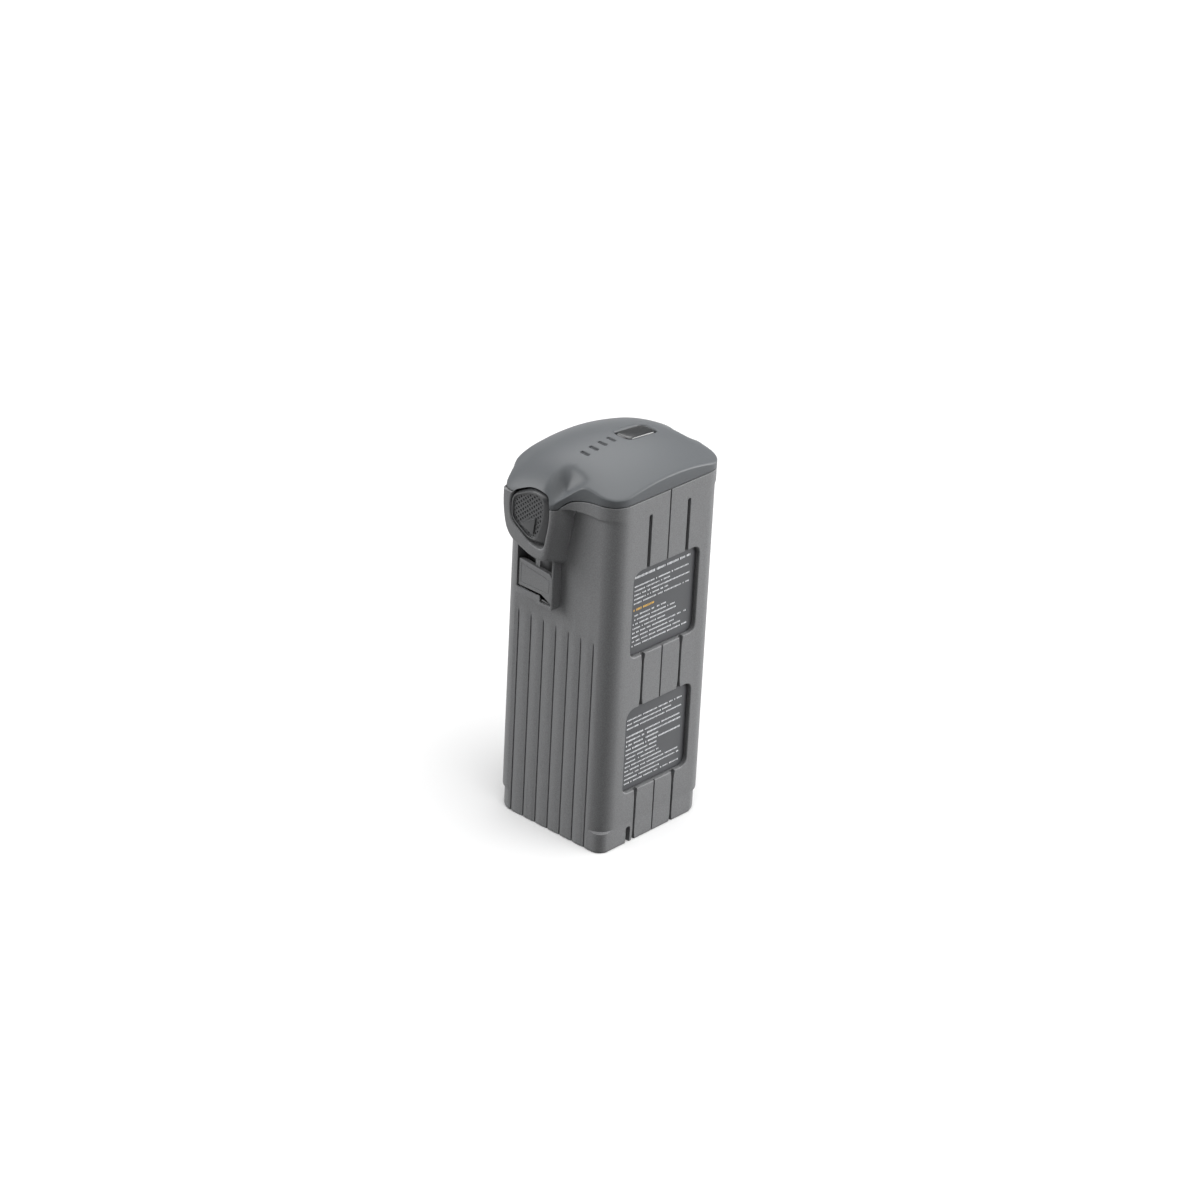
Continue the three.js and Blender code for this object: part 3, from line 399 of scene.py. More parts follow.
grip_y, grip_z = grip_low[1], grip_low[2]
opening_loop = outline(
    [
        (grip_y - 3.0, grip_z + 16.2, 3.6),
        (grip_y - 3.4, grip_z + 8.5, 6),
        (grip_y - 1.4, grip_z - 1.6, 2.2),
        (grip_y + 4.0, grip_z - 1.1, 3),
        (grip_y + 11.6, grip_z + 3.7, 3.4),
        (grip_y + 12.5, grip_z + 8.5, 3),
        (grip_y + 11.7, grip_z + 13.4, 3.6),
        (grip_y + 4.4, grip_z + 17.0, 4.5),
    ],
    steps=9,
)
field_loop = outline(
    [
        (grip_y - 0.6, grip_z + 14.9, 2.4),
        (grip_y - 0.5, grip_z + 8.0, 5),
        (grip_y + 1.9, grip_z + 0.9, 1.6),
        (grip_y + 5.0, grip_z + 1.0, 2.6),
        (grip_y + 11.0, grip_z + 4.6, 2.6),
        (grip_y + 11.5, grip_z + 8.0, 2.6),
        (grip_y + 10.9, grip_z + 11.8, 2.6),
        (grip_y + 4.4, grip_z + 15.0, 3.6),
    ],
    steps=9,
)
latch_travel = 2.2
floor_x = arm_low[0] - latch_travel - gap
web_top = grip_z + 6
catch_z = bump_tip - 3
slot_z = bump_tip - 0.4
heel = 1.9
heel_width = 3.9


def tongue_loop(grow, top):
    low, high = arm_low[1] - grow, arm_high[1] + grow
    bottom = arm_low[2] - grow
    step = low + heel_width + 2 * grow
    return outline(
        [
            (low, top - 2.2, 0.3),
            (low, bottom, 0.3),
            (step, bottom, 0.3),
            (step, bottom + heel, 0.3),
            (high, bottom + heel, 0.3),
            (high, top, 0.3),
            (low + 1.0 + grow, top - 1.1, 0.3),
        ],
        steps=3,
    )


def cut_latch_ways(piece):
    """Takes the room that each latch moves in out of a moulding, with a soft rim round the scoop."""
    rings = [along_x(opening_loop, floor_x)]
    for turn in (0, 20, 40, 60, 78):
        angle = math.radians(turn)
        out, down = 0.45 * (1 - math.cos(angle)), 0.45 * (1 - math.sin(angle))
        rings.append(along_x(grown(opening_loop, out), bump_x - down))
    rings.append(along_x(grown(opening_loop, 0.7), bump_x + 0.8))
    both_sides(piece, lofted("scoop", rings), "DIFFERENCE")
    low, high = arm_low[1] - gap, arm_high[1] + gap
    web = outline([(low, catch_z - 1, 0), (high, catch_z - 1, 0), (high, web_top, 0), (low, web_top, 0)])
    both_sides(
        piece, lofted("web_way", [along_x(web, floor_x), along_x(web, arm_low[0] + 1.3)]), "DIFFERENCE"
    )


rib_count, rib_pitch = 7, 5.06


def flute_cutter():
    """Shallow flutes in a narrow side, which fade out under the catch box."""
    pitch, depth, ridge, top, fade = rib_pitch, 0.35, 0.56, 72.0, 7.0
    deepest = (np.arange(rib_count) - (rib_count - 1) / 2) * pitch
    profile = [(deepest[0] - pitch * ridge, 0.0)]
    for y in deepest:
        for share in (0.66, 0.33, 0.1):
            profile.append((y - pitch * ridge * share, depth * (1 - share) ** 1.25))
        profile.append((y, depth))
        for share in (0.1, 0.33, 0.66, 1):
            profile.append((y + pitch * (1 - ridge) * share, depth * (1 - share) ** 1.25))
    profile = np.array(profile)
    rings = []
    ending = ((top - fade, 1), (top - fade * 0.6, 0.8), (top - fade * 0.25, 0.2), (top, -0.3))
    for z, share in ((-1, 1), *ending):
        clear = 0.02 if share > 0 else 0.1
        inner = np.column_stack([side_x - profile[:, 1] * share + clear, profile[:, 0]])
        outer = np.array([(side_x + 2, profile[-1, 0]), (side_x + 2, profile[0, 0])])
        rings.append(along_z(np.vstack([inner, outer]), z))
    return lofted("flutes", rings)


def node_group(name, inputs):
    """An empty geometry tree with named inputs; returns the tree, its inputs and its output node."""
    tree = bpy.data.node_groups.new(name, "GeometryNodeTree")
    for label, kind, value in inputs:
        socket = tree.interface.new_socket(label, in_out="INPUT", socket_type=kind)
        if value is not None:
            socket.default_value = value
    tree.interface.new_socket("Geometry", in_out="OUTPUT", socket_type="NodeSocketGeometry")
    return tree, tree.nodes.new("NodeGroupInput"), tree.nodes.new("NodeGroupOutput")


def times(tree, socket, factor):
    """A node that multiplies a socket by a number."""
    step = tree.nodes.new("ShaderNodeMath")
    step.operation = "MULTIPLY"
    step.inputs[1].default_value = factor
    tree.links.new(socket, step.inputs[0])
    return step.outputs[0]


def ended(tree, given, made, shape):
    """Ends a tree: what it made becomes real geometry and takes the material input."""
    real = tree.nodes.new("GeometryNodeRealizeInstances")
    tree.links.new(shape, real.inputs[0])
    coat = tree.nodes.new("GeometryNodeSetMaterial")
    tree.links.new(real.outputs[0], coat.inputs["Geometry"])
    tree.links.new(given.outputs["Material"], coat.inputs["Material"])
    tree.links.new(coat.outputs[0], made.inputs[0])
    return tree


def grown_from(tree, name, **values):
    """Runs a geometry tree with its named inputs set, and returns the result as a plain mesh."""
    body = bpy.data.objects.new(name, bpy.data.meshes.new(name))
    bpy.context.scene.collection.objects.link(body)
    step = body.modifiers.new("nodes", "NODES")
    step.node_group = tree
    sockets = {s.name: s.identifier for s in tree.interface.items_tree if s.in_out == "INPUT"}
    for label, value in values.items():
        step[sockets[label.replace("_", " ")]] = value
    settle(body)
    return body


def rib_grooves():
    """The narrow groove at the bottom of each flute: one tapered bar, repeated along a line."""
    tree, given, made = node_group(
        "rib_grooves",
        [
            ("Count", "NodeSocketInt", rib_count),
            ("Pitch", "NodeSocketFloat", rib_pitch * MM),
            ("Length", "NodeSocketFloat", 70 * MM),
            ("Width", "NodeSocketFloat", 0.6 * MM),
            ("Side", "NodeSocketFloat", side_x * MM),
            ("Material", "NodeSocketMaterial", None),
        ],
    )
    nodes, links = tree.nodes, tree.links
    line = nodes.new("GeometryNodeMeshLine")
    links.new(given.outputs["Count"], line.inputs["Count"])
    offset = nodes.new("ShaderNodeCombineXYZ")
    links.new(given.outputs["Pitch"], offset.inputs["Y"])
    links.new(offset.outputs[0], line.inputs["Offset"])
    bar = nodes.new("GeometryNodeMeshCylinder")
    bar.inputs["Vertices"].default_value = 12
    links.new(given.outputs["Length"], bar.inputs["Depth"])
    links.new(times(tree, given.outputs["Width"], 0.5), bar.inputs["Radius"])
    place = nodes.new("GeometryNodeInstanceOnPoints")
    links.new(line.outputs[0], place.inputs["Points"])
    links.new(bar.outputs["Mesh"], place.inputs["Instance"])
    where = nodes.new("ShaderNodeCombineXYZ")
    links.new(given.outputs["Side"], where.inputs["X"])
    links.new(times(tree, given.outputs["Pitch"], (1 - rib_count) / 2), where.inputs["Y"])
    move = nodes.new("GeometryNodeTransform")
    links.new(place.outputs[0], move.inputs["Geometry"])
    links.new(where.outputs[0], move.inputs["Translation"])
    return ended(tree, given, made, move.outputs[0])


def cut_faces(piece):
    """Label pockets, sink grooves and the keying slot."""
    for label in ("upper_label", "lower_label"):
        low, high = cad_mm(label)
        x, bottom, top = high[0] + gap, low[2] - gap, high[2] + gap
        loop = outline([(-x, bottom, 3), (x, bottom, 3), (x, top, 3), (-x, top, 4)], steps=12)
        cutter = sunk("pocket", loop, along_y, -face_y, 1, 2.0, 0.35)
        combine(piece, cutter, "DIFFERENCE")
    bottoms = [cad_mm(label)[0][2] - gap for label in ("upper_label", "lower_label")]
    tops = [cad_mm(label)[1][2] + gap for label in ("upper_label", "lower_label")]
    long_top = seam_top - 5.6

    def groove(x, width, low, high, flare, face, inwards, depth):
        half, reach = width / 2, 3.5
        wide = half + flare
        if flare:
            loop = outline(
                [
                    (x - wide, low, wide * 0.8),
                    (x + wide, low, wide * 0.8),
                    (x + half, low + reach, 0),
                    (x + half, high - reach, 0),
                    (x + wide, high, wide * 0.8),
                    (x - wide, high, wide * 0.8),
                    (x - half, high - reach, 0),
                    (x - half, low + reach, 0),
                ],
                steps=4,
            )
        else:
            loop = outline(
                [
                    (x - half, low, half * 0.95),
                    (x + half, low, half * 0.95),
                    (x + half, high, half * 0.95),
                    (x - half, high, half * 0.95),
                ],
                steps=4,
            )
        lip = 0.16 if width > 0.6 else 0.08
        combine(piece, sunk("groove", loop, along_y, face, inwards, depth, lip), "DIFFERENCE")

    for low, high in ((tops[1] - 0.8, bottoms[0] + 0.8), (-1, bottoms[1] + 0.8)):
        for x in (-8.3, 8.3):
            groove(x, 0.82, low, high, 0.5, -face_y, 1, 1.3)
        groove(0, 0.5, low, high, 0, -face_y, 1, 0.65)
    for x in (-8.3, 8.3):
        groove(x, 1.25, tops[0] - 0.8, long_top, 0, -face_y, 1, 1.3)
        groove(x, 1.25, -1, long_top, 0, face_y, -1, 1.3)
    groove(0, 0.5, tops[0] - 0.8, seam_top + 1, 0, -face_y, 1, 0.65)
    groove(0, 0.5, -1, seam_top + 1, 0, face_y, -1, 0.65)
    groove(-10.75, 1.9, -1, 5.5, 0, -face_y, 1, 1.6)


def smooth(piece, angle=32):
    """Smooth shading that keeps the true edges sharp."""
    piece.data.shade_smooth()
    piece.data.set_sharp_from_angle(angle=math.radians(angle))


def grained(name, colour, roughness, grain=0.03, size=0.28, speckle=0.1, drift=0.03):
    """Moulded plastic with spark-eroded grain: speckled colour, fine bump and drifting gloss."""
    material = bpy.data.materials.new(name)
    material.use_nodes = True
    nodes, links = material.node_tree.nodes, material.node_tree.links
    shader = nodes["Principled BSDF"]
    where = nodes.new("ShaderNodeTexCoord")
    fine = nodes.new("ShaderNodeTexNoise")
    fine.inputs["Scale"].default_value = 1 / (size * MM)
    fine.inputs["Detail"].default_value = 2
    broad = nodes.new("ShaderNodeTexNoise")
    broad.inputs["Scale"].default_value = 60
    broad.inputs["Detail"].default_value = 3
    for noise in (fine, broad):
        links.new(where.outputs["Object"], noise.inputs["Vector"])
    tint = nodes.new("ShaderNodeValToRGB")
    tint.color_ramp.elements[0].position = 0.32
    tint.color_ramp.elements[1].position = 0.68
    tint.color_ramp.elements[0].color = [c * (1 - speckle) for c in colour] + [1]
    tint.color_ramp.elements[1].color = [c * (1 + speckle) for c in colour] + [1]
    links.new(fine.outputs["Fac"], tint.inputs["Fac"])
    gloss = nodes.new("ShaderNodeMapRange")
    gloss.inputs["To Min"].default_value = roughness - drift
    gloss.inputs["To Max"].default_value = roughness + drift
    links.new(broad.outputs["Fac"], gloss.inputs["Value"])
    bump = nodes.new("ShaderNodeBump")
    bump.inputs["Strength"].default_value = 0.5
    bump.inputs["Distance"].default_value = grain * MM
    links.new(fine.outputs["Fac"], bump.inputs["Height"])
    links.new(tint.outputs["Color"], shader.inputs["Base Color"])
    links.new(gloss.outputs["Result"], shader.inputs["Roughness"])
    links.new(bump.outputs["Normal"], shader.inputs["Normal"])
    return material


shell_grey = grained("shell_plastic", (0.132, 0.134, 0.137), 0.58, grain=0.05, size=0.3, speckle=0.16)


def dress(piece, material, slot, body, *nodes):
    """Gives a finished piece its material and its body, and hides the CAD nodes that it stands for."""
    piece.data.materials.clear()
    piece.data.materials.append(material)
    if nodes:
        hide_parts(*nodes)
    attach(piece, body)


sleeve = sleeve_body()
both_sides(sleeve, latch_housing(), "UNION")
box_near = (arm_low[1] + arm_high[1]) / 2 - 7.5
box_far = box_near + 14.7
box_step = box_near + heel_width + 2.4
box_low = arm_low[2] - 0.6
box_loop = outline(
    [
        (box_near, box_low - 0.9, 0.6),
        (box_step, box_low - 0.9, 0.4),
        (box_step, box_low, 0.4),
        (box_far, box_low, 0.6),
        (box_far, bump_tip + 6, 0.6),
        (box_near, bump_tip + 6, 0.6),
    ],
    steps=4,
)
both_sides(sleeve, raised("catch_box", box_loop, side_x - 1, side_x + 3.5, 0.35), "UNION")
flange_loop = outline(
    [
        (-7.6, collar_low + 0.4, 0.5),
        (-5.3, collar_low - 3.2, 2),
        (-4.5, bump_tip + 6, 2),
        (-2.9, bump_tip + 2.3, 0.8),
        (-0.9, bump_tip + 2.3, 0.8),
        (-2.4, bump_tip + 6, 1.5),
        (-2.4, collar_low + 0.4, 0.2),
    ],
    steps=6,
)
both_sides(sleeve, raised("flange", flange_loop, side_x - 1, side_x + 0.7, 0.35), "UNION")
combine(sleeve, below_seam(-gap / 2), "INTERSECT")
combine(sleeve, seam_groove(), "DIFFERENCE")
cavity = outline([(-21, -18.7, 3), (21, -18.7, 3), (21, 18.7, 3), (-21, 18.7, 3)])
combine(sleeve, lofted("cavity", [along_z(cavity, 3), along_z(cavity, 130)]), "DIFFERENCE")
well_wall = outline([(-14.8, -6, 0.5), (14.8, -6, 0.5), (14.8, 6, 0.5), (-14.8, 6, 0.5)])
combine(sleeve, lofted("well_wall", [along_z(well_wall, 1.5), along_z(well_wall, 12.3)]), "UNION")
well = outline([(-13.2, -4.4, 0.6), (13.2, -4.4, 0.6), (13.2, 4.4, 0.6), (-13.2, 4.4, 0.6)])
well_steps = ((0.8, -0.3), (0.5, 0.12), (0.1, 0.5))
well_rings = [along_z(grown(well, by), z) for by, z in well_steps]
well_rings += [along_z(well, 0.9), along_z(well, 14)]
combine(sleeve, lofted("well", well_rings), "DIFFERENCE")
cut_latch_ways(sleeve)
way_loop = tongue_loop(gap, catch_z)
tongue_way = lofted("tongue_way", [along_x(way_loop, floor_x), along_x(way_loop, bump_x)])
both_sides(sleeve, tongue_way, "DIFFERENCE")
low, high = arm_low[1] - gap, arm_high[1] + gap
slot_foot = catch_z - 2.2
slot_loop = outline([(low, slot_foot, 0), (high, slot_foot, 0), (high, slot_z, 0.4), (low, slot_z, 0.4)])
both_sides(
    sleeve, lofted("slot", [along_x(slot_loop, floor_x), along_x(slot_loop, bump_x + 1)]), "DIFFERENCE"
)
both_sides(sleeve, flute_cutter(), "DIFFERENCE")
groove_length, below_foot = 72.0, 2
groove_side = side_x - 0.45
grooves = grown_from(rib_grooves(), "grooves", Length=groove_length * MM, Side=groove_side * MM)
grooves.data.transform(Matrix.Translation((0, 0, (groove_length / 2 - below_foot) * MM)))
both_sides(sleeve, grooves, "DIFFERENCE")
cut_faces(sleeve)
smooth(sleeve)
dress(sleeve, shell_grey, "shell_plastic", "pack", "outer_shell")

# ---- Cap ---------------------------------------------------------------------------------------
# The domed cap closes the sleeve: smooth matte plastic in a lighter, cooler grey. Its skirt plugs
# into the sleeve, and it carries the recess of the power key and four slots for the charge lights.
cap_top = cap_high[2]
wall = 2.2
key_low, key_high = cad_mm("power_button")
key_mid = (key_low + key_high) / 2
key_half = np.array([6.4, 3.4])
light_low, light_high = cad_mm("light_guide")
light_mid_y = (light_low[1] + light_high[1]) / 2
light_xs = [float(np.mean([b[0] for b in cad_mm(f"led_chip_{i + 1}")])) for i in range(4)]


def dome(x, y):
    return cap_top - x**2 / 166 - y**2 / np.where(y < 0, 100.0, 80.0)


def smoothstep(t):
    t = np.clip(t, 0, 1)
    return t * t * (3 - 2 * t)


def ellipse(t):
    """How far a quarter ellipse has still to fall at a share of its reach: 1 at the edge, 0 inside."""
    return 1 - np.sqrt(1 - (1 - np.clip(t, 0, 1)) ** 2)


def sunken(x, y):
    """How far the cap lies below the plain dome: round shoulders at the sides, a dip beside each latch."""
    out = np.abs(x)
    over = smoothstep((y + face_y + 4) / 24)
    pillow = ellipse((bump_x - out) / 15) * over
    beside = smoothstep((y - bump_near + 7) / 8.5) * smoothstep((bump_near + 6 - y) / 6)
    valley = 0.78 * beside * smoothstep((out - 20.6) / 4.2)
    corner = smoothstep((y - 13) / 8) * smoothstep((out - 12) / 12)
    return 7.0 * (1 - (1 - pillow) * (1 - valley)) + 0.9 * corner


def domed(name, bottom, lowered, distances):
    """The dome over the plan with a small crease all round; its rings lie this far in from the edge."""
    loop = plan()
    length = np.linalg.norm(loop, axis=1)
    rings = [along_z(loop, bottom)]
    steps = [np.full(len(loop), float(distance)) for distance in distances]
    last = distances[-1]
    steps += [last + (length - last) * share for share in np.linspace(0, 1, 11)[1:-1]]
    for inwards in steps:
        at = loop * (1 - inwards / length)[:, None]
        crease = 0.4 * ellipse(inwards / 0.8)
        height = dome(at[:, 0], at[:, 1]) - sunken(at[:, 0], at[:, 1]) - crease - lowered
        rings.append(along_z(at, height))
    return lofted(name, rings, peak=True)


def key_loop(grow):
    half = key_half + grow
    reach = 2 + grow / 2
    u, v = key_mid[0], key_mid[1]
    corners = [(-1, -1), (1, -1), (1, 1), (-1, 1)]
    return outline([(u + a * half[0], v + b * half[1], reach) for a, b in corners], steps=10)


def from_above(name, loop, depth, lip):
    """A cutter that follows the dome: an upright hole with a rounded lip."""
    rings = [along_z(loop, cap_top - depth)]

    def on_dome(by, down):
        at = grown(loop, by)
        return along_z(at, dome(at[:, 0], at[:, 1]) - down)

    for turn in np.linspace(0, 80, 6):
        angle = math.radians(turn)
        rings.append(on_dome(lip * (1 - math.cos(angle)), lip * (1 - math.sin(angle))))
    rings.append(on_dome(lip * 1.2, -1.5))
    return lofted(name, rings)


edge_steps = [0, 0.04, 0.12, 0.25, 0.42, 0.6, 0.8, 1.1, 1.5, 2, 2.6]
edge_steps += [3.3, 4.1, 5, 6, 7, 8.2, 9.5, 11, 12.7, 14.5, 16.5]
cap = domed("cap", seam_top - 10.4, 0, edge_steps)
combine(cap, below_seam(gap / 2), "DIFFERENCE")
combine(cap, seam_groove(), "DIFFERENCE")
skirt_x, skirt_y = 20.7, 18.4
skirt_corners = ((-1, -1), (1, -1), (1, 1), (-1, 1))
skirt = outline([(a * skirt_x, b * skirt_y, 2.7) for a, b in skirt_corners])
combine(cap, lofted("skirt", [along_z(skirt, seam_top - 6.4), along_z(skirt, seam_top + 2)]), "UNION")
room = lofted("room", [along_z(grown(skirt, -1.5), seam_top - 8), along_z(grown(skirt, -1.5), 130)])
combine(room, domed("ceiling", seam_top - 10, wall, edge_steps[::4] + [16.5]), "INTERSECT")
combine(cap, room, "DIFFERENCE")
cut_latch_ways(cap)
combine(cap, from_above("key_recess", key_loop(0), 9, 0.9), "DIFFERENCE")
for x in light_xs:
    u, v = 0.6, 1.75
    corners = [(x + a * u, light_mid_y + b * v, 0.55) for a, b in ((-1, -1), (1, -1), (1, 1), (-1, 1))]
    combine(cap, from_above("light_slot", outline(corners, steps=6), 9, 0.18), "DIFFERENCE")
smooth(cap, 40)
cap_grey = grained("cap_plastic", (0.075, 0.080, 0.085), 0.46, grain=0.006, size=0.2, speckle=0.02)
cap_grey.node_tree.nodes["Principled BSDF"].inputs["Specular IOR Level"].default_value = 0.3
dress(cap, cap_grey, "cap_plastic", "pack", "top_cap")

# ---- Power key -----------------------------------------------------------------------------------
# One oblong key in glossy dark grey, crowned like the dome and sunk a little below it. A flange
# under the cap keeps it in, and its stem presses the switch on the main board.
key_rings = [along_z(key_loop(-gap), key_high[2] - 3.2)]
for turn in np.linspace(0, 90, 7):
    angle = math.radians(turn)
    at = key_loop(-gap - 0.7 * (1 - math.cos(angle)))
    key_rings.append(along_z(at, dome(at[:, 0], at[:, 1]) - 0.12 - 0.7 * (1 - math.sin(angle))))
for share in np.linspace(1, 0, 8)[1:-1]:
    at = key_mid[:2] + (key_loop(-gap - 0.7) - key_mid[:2]) * share
    key_rings.append(along_z(at, dome(at[:, 0], at[:, 1]) - 0.12 + 0.1 * (1 - share**2)))
key = lofted("key", key_rings, peak=True)
flange_top = key_high[2] - 3.0
key_flange = lofted("key_flange", [along_z(key_loop(0.8), flange_top - down) for down in (0.5, 0)])
combine(key, key_flange, "UNION")
ring = np.linspace(0, 2 * math.pi, 25)[:-1]
stem = key_mid[:2] + 1.6 * np.column_stack([np.cos(ring), np.sin(ring)])
combine(key, lofted("key_stem", [along_z(stem, key_low[2]), along_z(stem, flange_top - 0.2)]), "UNION")
smooth(key, 40)
key_grey = grained("key_plastic", (0.022, 0.023, 0.024), 0.2, grain=0.002, size=0.3, speckle=0.03)
dress(key, key_grey, "key_plastic", "power_key", "power_button")

# ---- Latches ---------------------------------------------------------------------------------------
# A latch on each narrow side: a rubbery grip pad with a diamond knurl, fixed on a rigid arm whose
# tongue hooks under a catch in the bay. Squeezing both pads slides the arms in and frees the pack.


def knurl_pits():
    """Pyramid pits in a staggered field, so that raised ribs cross between them."""
    tree, given, made = node_group(
        "knurl_pits",
        [
            ("Pitch", "NodeSocketFloat", 1.75 * MM),
            ("Rise", "NodeSocketFloat", 1.5 * MM),
            ("Pit", "NodeSocketFloat", 0.72 * MM),
            ("Material", "NodeSocketMaterial", None),
        ],
    )
    nodes, links = tree.nodes, tree.links
    join = nodes.new("GeometryNodeJoinGeometry")
    for shift in (0, 0.5):
        grid = nodes.new("GeometryNodeMeshGrid")
        grid.inputs["Vertices X"].default_value = 11
        grid.inputs["Vertices Y"].default_value = 13
        for axis, label, count in (("Size X", "Pitch", 10), ("Size Y", "Rise", 12)):
            links.new(times(tree, given.outputs[label], count), grid.inputs[axis])
        step = nodes.new("ShaderNodeCombineXYZ")
        for axis, label in (("X", "Pitch"), ("Y", "Rise")):
            links.new(times(tree, given.outputs[label], shift), step.inputs[axis])
        move = nodes.new("GeometryNodeTransform")
        links.new(grid.outputs["Mesh"], move.inputs["Geometry"])
        links.new(step.outputs[0], move.inputs["Translation"])
        links.new(move.outputs[0], join.inputs[0])
    pit = nodes.new("GeometryNodeMeshCone")
    pit.inputs["Vertices"].default_value = 4
    pit.inputs["Depth"].default_value = 0.9 * MM
    links.new(times(tree, given.outputs["Pit"], 0.55), pit.inputs["Radius Bottom"])
    links.new(given.outputs["Pit"], pit.inputs["Radius Top"])
    place = nodes.new("GeometryNodeInstanceOnPoints")
    links.new(join.outputs[0], place.inputs["Points"])
    links.new(pit.outputs["Mesh"], place.inputs["Instance"])
    return ended(tree, given, made, place.outputs[0])


pad_face = bump_x - 0.35
pad_rings = [along_x(grown(opening_loop, -0.4), x) for x in (grip_low[0], pad_face - 2.0)]
for t in np.linspace(0, 1, 7):
    loop = grown(opening_loop, -0.5) * (1 - t) + grown(field_loop, 0.6) * t
    pad_rings.append(along_x(loop, pad_face - 1.8 + 1.75 * t**0.8))
pad_rings.append(along_x(grown(field_loop, 0.45), pad_face))
pad = lofted("pad", pad_rings)
combine(pad, sunk("field", grown(field_loop, 0.05), along_x, pad_face, -1, 0.5, 0.12), "DIFFERENCE")
knurl = grown_from(knurl_pits(), "knurl")
knurl.data.transform(Matrix(((0, 0, 1, 0), (1, 0, 0, 0), (0, 1, 0, 0), (0, 0, 0, 1))))
grip_mid = (grip_low + grip_high) / 2
knurl.data.transform(Matrix.Translation(Vector((pad_face - 0.72, grip_mid[1], grip_mid[2])) * MM))
field_rings = [along_x(grown(field_loop, -0.3), x) for x in (pad_face - 3, pad_face + 1)]
field_block = lofted("field_block", field_rings)
combine(knurl, field_block, "INTERSECT")
thumb = outline(
    [
        (grip_y + 3.0, grip_z + 1.9, 0.7),
        (grip_y + 8.6, grip_z + 3.7, 0.7),
        (grip_y + 2.2, grip_z + 7.7, 0.7),
    ],
    steps=5,
)
thumb_rings = [along_x(grown(thumb, 0.35), x) for x in (pad_face - 4, pad_face + 2)]
thumb_block = lofted("thumb_block", thumb_rings)
combine(knurl, thumb_block, "DIFFERENCE")
combine(pad, knurl, "DIFFERENCE")
combine(pad, raised("thumb_mark", thumb, pad_face - 1, pad_face, 0.25), "UNION")
smooth(pad, 30)

arm_face = arm_high[0] - 0.35
arm_loop = grown(opening_loop, -0.6)
arm = lofted("arm", [along_x(arm_loop, arm_low[0]), along_x(arm_loop, arm_low[0] + 1.6)])
low, high = arm_low[1], arm_high[1]
web_low, web_high = (low + high) / 2 - 0.9, (low + high) / 2 + 0.9
web_foot, web_head = catch_z - 3.5, grip_z + 5.5
web_corners = ((web_low, web_foot), (web_high, web_foot), (web_high, web_head), (web_low, web_head))
web = outline([(y, z, 0) for y, z in web_corners])
combine(arm, lofted("web", [along_x(web, arm_low[0]), along_x(web, arm_low[0] + 0.5)]), "UNION")
combine(arm, raised("tongue", tongue_loop(0, catch_z - 1.7), arm_low[0], arm_face, 0.25), "UNION")
panel_out = outline(
    [
        (low + 0.9, arm_low[2] + 3.3, 0.5),
        (high - 1.0, arm_low[2] + 3.3, 0.5),
        (high - 1.0, catch_z - 2.9, 0.5),
        (low + 0.9, catch_z - 4.6, 0.5),
    ],
    steps=4,
)
line_rings = [
    along_x(panel_out, arm_face + 0.5),
    along_x(panel_out, arm_face - 0.07),
    along_x(grown(panel_out, -0.22), arm_face - 0.07),
    along_x(grown(panel_out, -0.22), arm_face + 0.5),
]
combine(arm, hoop("panel_line", line_rings), "DIFFERENCE")
smooth(arm, 30)

grip_dark = grained("grip_plastic", (0.040, 0.041, 0.043), 0.4, grain=0.01, size=0.2, speckle=0.06)
left_pad, left_arm = mirrored(pad), mirrored(arm)
for piece, side, name, node, material, slot in (
    (pad, "right", "grip", "grip_pad", grip_dark, "grip_plastic"),
    (left_pad, "left", "grip", "grip_pad", grip_dark, "grip_plastic"),
    (arm, "right", "catch_arm", "latch_arm", shell_grey, "shell_plastic"),
    (left_arm, "left", "catch_arm", "latch_arm", shell_grey, "shell_plastic"),
):
    piece.name = f"{side}_{name}"
    dress(piece, material, slot, f"{side}_latch", f"{side}_{node}")

# ---- Labels ----------------------------------------------------------------------------------------
# Two dark film labels glued in the pockets. Their print is stood for by rows of plain grey dashes,
# with one amber row, a fiftieth of a millimetre proud of the film.


